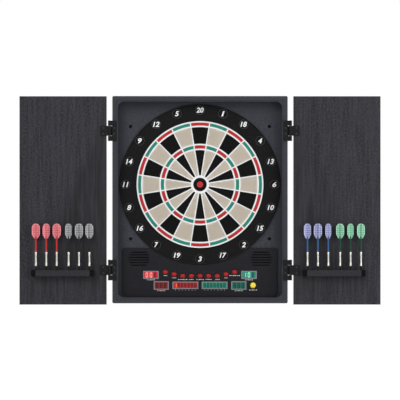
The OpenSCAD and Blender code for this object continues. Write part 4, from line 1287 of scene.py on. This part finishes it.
# %% Whole darts
TIP, BARREL, SHAFT, FLIGHT = range(4)
GRIP_WAIST = 2.75 * MM
TIP_END, TIP_POINT = 0.3 * MM, 0.9 * MM
GRIP_IN, GRIP_TOP_IN = 10 * MM, 7.5 * MM
dart_nodes = sorted(node for node in frame["nodes"] if "_dart_" in node and "rack" not in node)


def parts_of_dart(node):
    """The boxes of a dart's tip, barrel, shaft and flight, and all its points."""
    solids = sorted(solids_of(node), key=lambda points: middle(box_of(points)).z)
    return [box_of(points) for points in solids], solids


def rows_at(radius, base, *rows):
    """Part of a profile: each row is a share of a radius, and millimetres above a base."""
    return [(radius * share, base + up * MM) for share, up in rows]


def dart(node):
    boxes, solids = parts_of_dart(node)
    axis = middle(boxes[BARREL])
    axis.z = 0
    tip_low, barrel_low, barrel_high = (boxes[TIP][0].z, boxes[BARREL][0].z, boxes[BARREL][1].z)
    shaft_high, flight_low, flight_high = (boxes[SHAFT][1].z, boxes[FLIGHT][0].z,
                                           boxes[FLIGHT][1].z)
    flange = (boxes[TIP][1].x - boxes[TIP][0].x) / 2
    grip = (boxes[BARREL][1].x - boxes[BARREL][0].x) / 2
    collar = (boxes[SHAFT][1].x - boxes[SHAFT][0].x) / 2
    shape = bmesh.new()
    uv = shape.loops.layers.uv.new("UVMap")
    turned = dict(centre=axis, sides=28, standing=True)
    stack(shape, [(TIP_END, tip_low), (TIP_POINT, tip_low + 1 * MM)]
          + rows_at(flange, barrel_low, (0.8, -1.8), (1, -1.5), (1, 0)), material=TIP, **turned)
    stack(shape, [(flange * 0.9, barrel_low)]
          + rows_at(grip, barrel_low, (0.94, 0.4), (1, 1.2), (1, 6.6), (0.97, 7.4))
          + [(GRIP_WAIST, barrel_low + GRIP_IN), (GRIP_WAIST, barrel_high - GRIP_TOP_IN)]
          + rows_at(grip, barrel_high, (0.98, -4), (1, -3.2), (0.96, -1.2))
          + rows_at(collar, barrel_high, (1, -0.1), (0.8, 0)), material=BARREL, **turned)
    stack(shape, rows_at(collar, barrel_high, (0.9, 0), (1, 0.4), (1, 4.6), (0.94, 5.2), (0.79, 8))
          + rows_at(collar, shaft_high, (0.79, -0.5), (0.6, 0)), material=SHAFT, **turned)
    farthest = max(solids[FLIGHT], key=lambda point: (point - axis).xy.length)
    turn = math.atan2(farthest.y - axis.y, farthest.x - axis.x)
    reach = (farthest - axis).xy.length * TRIM
    for quarter in range(4):
        wing(shape, axis + Vector((0, 0, flight_low)), flight_high - flight_low, reach,
             turn + quarter * math.pi / 2, uv, FLIGHT)
    rings = grip_mesh.copy()
    rings.transform(Matrix.Translation(axis))
    first_new = len(shape.faces)
    shape.from_mesh(rings)
    shape.faces.ensure_lookup_table()
    for face in shape.faces[first_new:]:
        face.material_index = BARREL
        face.smooth = True
    slot = slot_of[node]
    piece = new_piece(node + "_turned", shape, tip_nylon, barrel_metal, shaft_finish[slot],
                      flight_finish[slot])
    smoothed(piece, 40)
    stand_for(piece, node)
    return piece


barrel_box = parts_of_dart(dart_nodes[0])[0][BARREL]
grip_piece = new_piece("grip", bpy.data.meshes.new("grip"))
grow(grip_piece, grip_tree, Radius=GRIP_WAIST, First=barrel_box[0].z + GRIP_IN + 0.8 * MM,
     Last=barrel_box[1].z - GRIP_TOP_IN - 0.8 * MM, Material=barrel_metal)
grip_mesh = grip_piece.data
bpy.data.objects.remove(grip_piece)
for node in dart_nodes:
    finished = dart(node)
count(finished)
print("darts:", len(dart_nodes))

# %% [markdown]
# ## Floor, light and camera
#
# A pale floor lies below the cabinet and keeps its shadow. The world is plain white where the
# camera, a reflection or a clear part looks at it, and dimmer where it only lights the object. A
# large soft key light from the upper left and a weaker fill from the right do the rest.

# %% Floor
FLOOR_DROP = 0.17
FLOOR_HALF = 4.0
FLOOR_LIFT = 0.45           # light that only the camera and reflections see, so the floor is white


def seen_directly(tree, *rays):
    path = add(tree, "ShaderNodeLightPath")
    share = path.outputs["Is Camera Ray"]
    for ray in rays:
        share = sums(tree, "MAXIMUM", share, path.outputs[ray])
    return share


low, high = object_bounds()
floor_z = low.z - FLOOR_DROP
corners = [(x * FLOOR_HALF, y * FLOOR_HALF, floor_z)
           for x, y in ((-1, -1), (1, -1), (1, 1), (-1, 1))]
floor_mesh = bpy.data.meshes.new("floor")
floor_mesh.from_pydata(corners, [], [(0, 1, 2, 3)])
floor_paint, tree, shader = new_material("floor_paint", 0.9, 0.1)
tree.links.new(blended(tree, noise(tree, 6.0, 3.0), paint(240, 240, 240), paint(246, 246, 246)),
               shader.inputs["Base Color"])
shader.inputs["Emission Color"].default_value = (1, 1, 1, 1)
lift = sums(tree, "MULTIPLY", seen_directly(tree, "Is Glossy Ray"), FLOOR_LIFT)
tree.links.new(lift, shader.inputs["Emission Strength"])
floor = new_piece("floor", floor_mesh, floor_paint)
floor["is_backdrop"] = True

# %% World
WORLD_LIGHT = 0.38
world = bpy.data.worlds.new("studio")
bpy.context.scene.world = world
world.use_nodes = True
tree = world.node_tree
background = tree.nodes["Background"]
background.inputs["Color"].default_value = (1, 1, 1, 1)
seen = seen_directly(tree, "Is Glossy Ray", "Is Transmission Ray")
strength = sums(tree, "MULTIPLY_ADD", seen, 1 - WORLD_LIGHT, WORLD_LIGHT)
tree.links.new(strength, background.inputs["Strength"])

# %% Lamps
target = Vector((0, 0, middle((low, high)).z))


def soft_lamp(name, place, power, size):
    """A square area lamp that faces the cabinet's middle."""
    light = bpy.data.lights.new(name, "AREA")
    light.energy = power
    light.size = size
    lamp = bpy.data.objects.new(name, light)
    lamp.location = place
    lamp.rotation_euler = (target - Vector(place)).to_track_quat("-Z", "Y").to_euler()
    bpy.context.scene.collection.objects.link(lamp)


soft_lamp("key", (-2.2, -3.4, 2.6), 115, 2.0)
soft_lamp("fill", (2.8, -3.0, 0.6), 80, 2.4)
soft_lamp("back", (0.5, 3.6, 2.2), 80, 2.5)

# %% Camera
VIEW_WIDTH = 1.082
CAMERA_BACK = 9.0
SENSOR = 36.0
EYE_Z = -0.0469
camera_data = bpy.data.cameras.new("camera")
camera_data.sensor_width = SENSOR
camera_data.lens = SENSOR * (CAMERA_BACK + web_front) / VIEW_WIDTH
camera_data.clip_end = 50
camera = bpy.data.objects.new("camera", camera_data)
camera.location = (0, -CAMERA_BACK, EYE_Z)
camera.rotation_euler = (math.radians(90), 0, 0)
bpy.context.scene.collection.objects.link(camera)
bpy.context.scene.camera = camera
bpy.context.scene.view_settings.view_transform = "Standard"
print("camera lens:", round(camera_data.lens, 1), "mm")

# %% [markdown]
# ## Finish
#
# The size of the dressed model's box is printed at the end.

# %% Size of the dressed model
low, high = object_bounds()
print("dressed model:", tuple(round(c / MM, 1) for c in high - low), "mm")
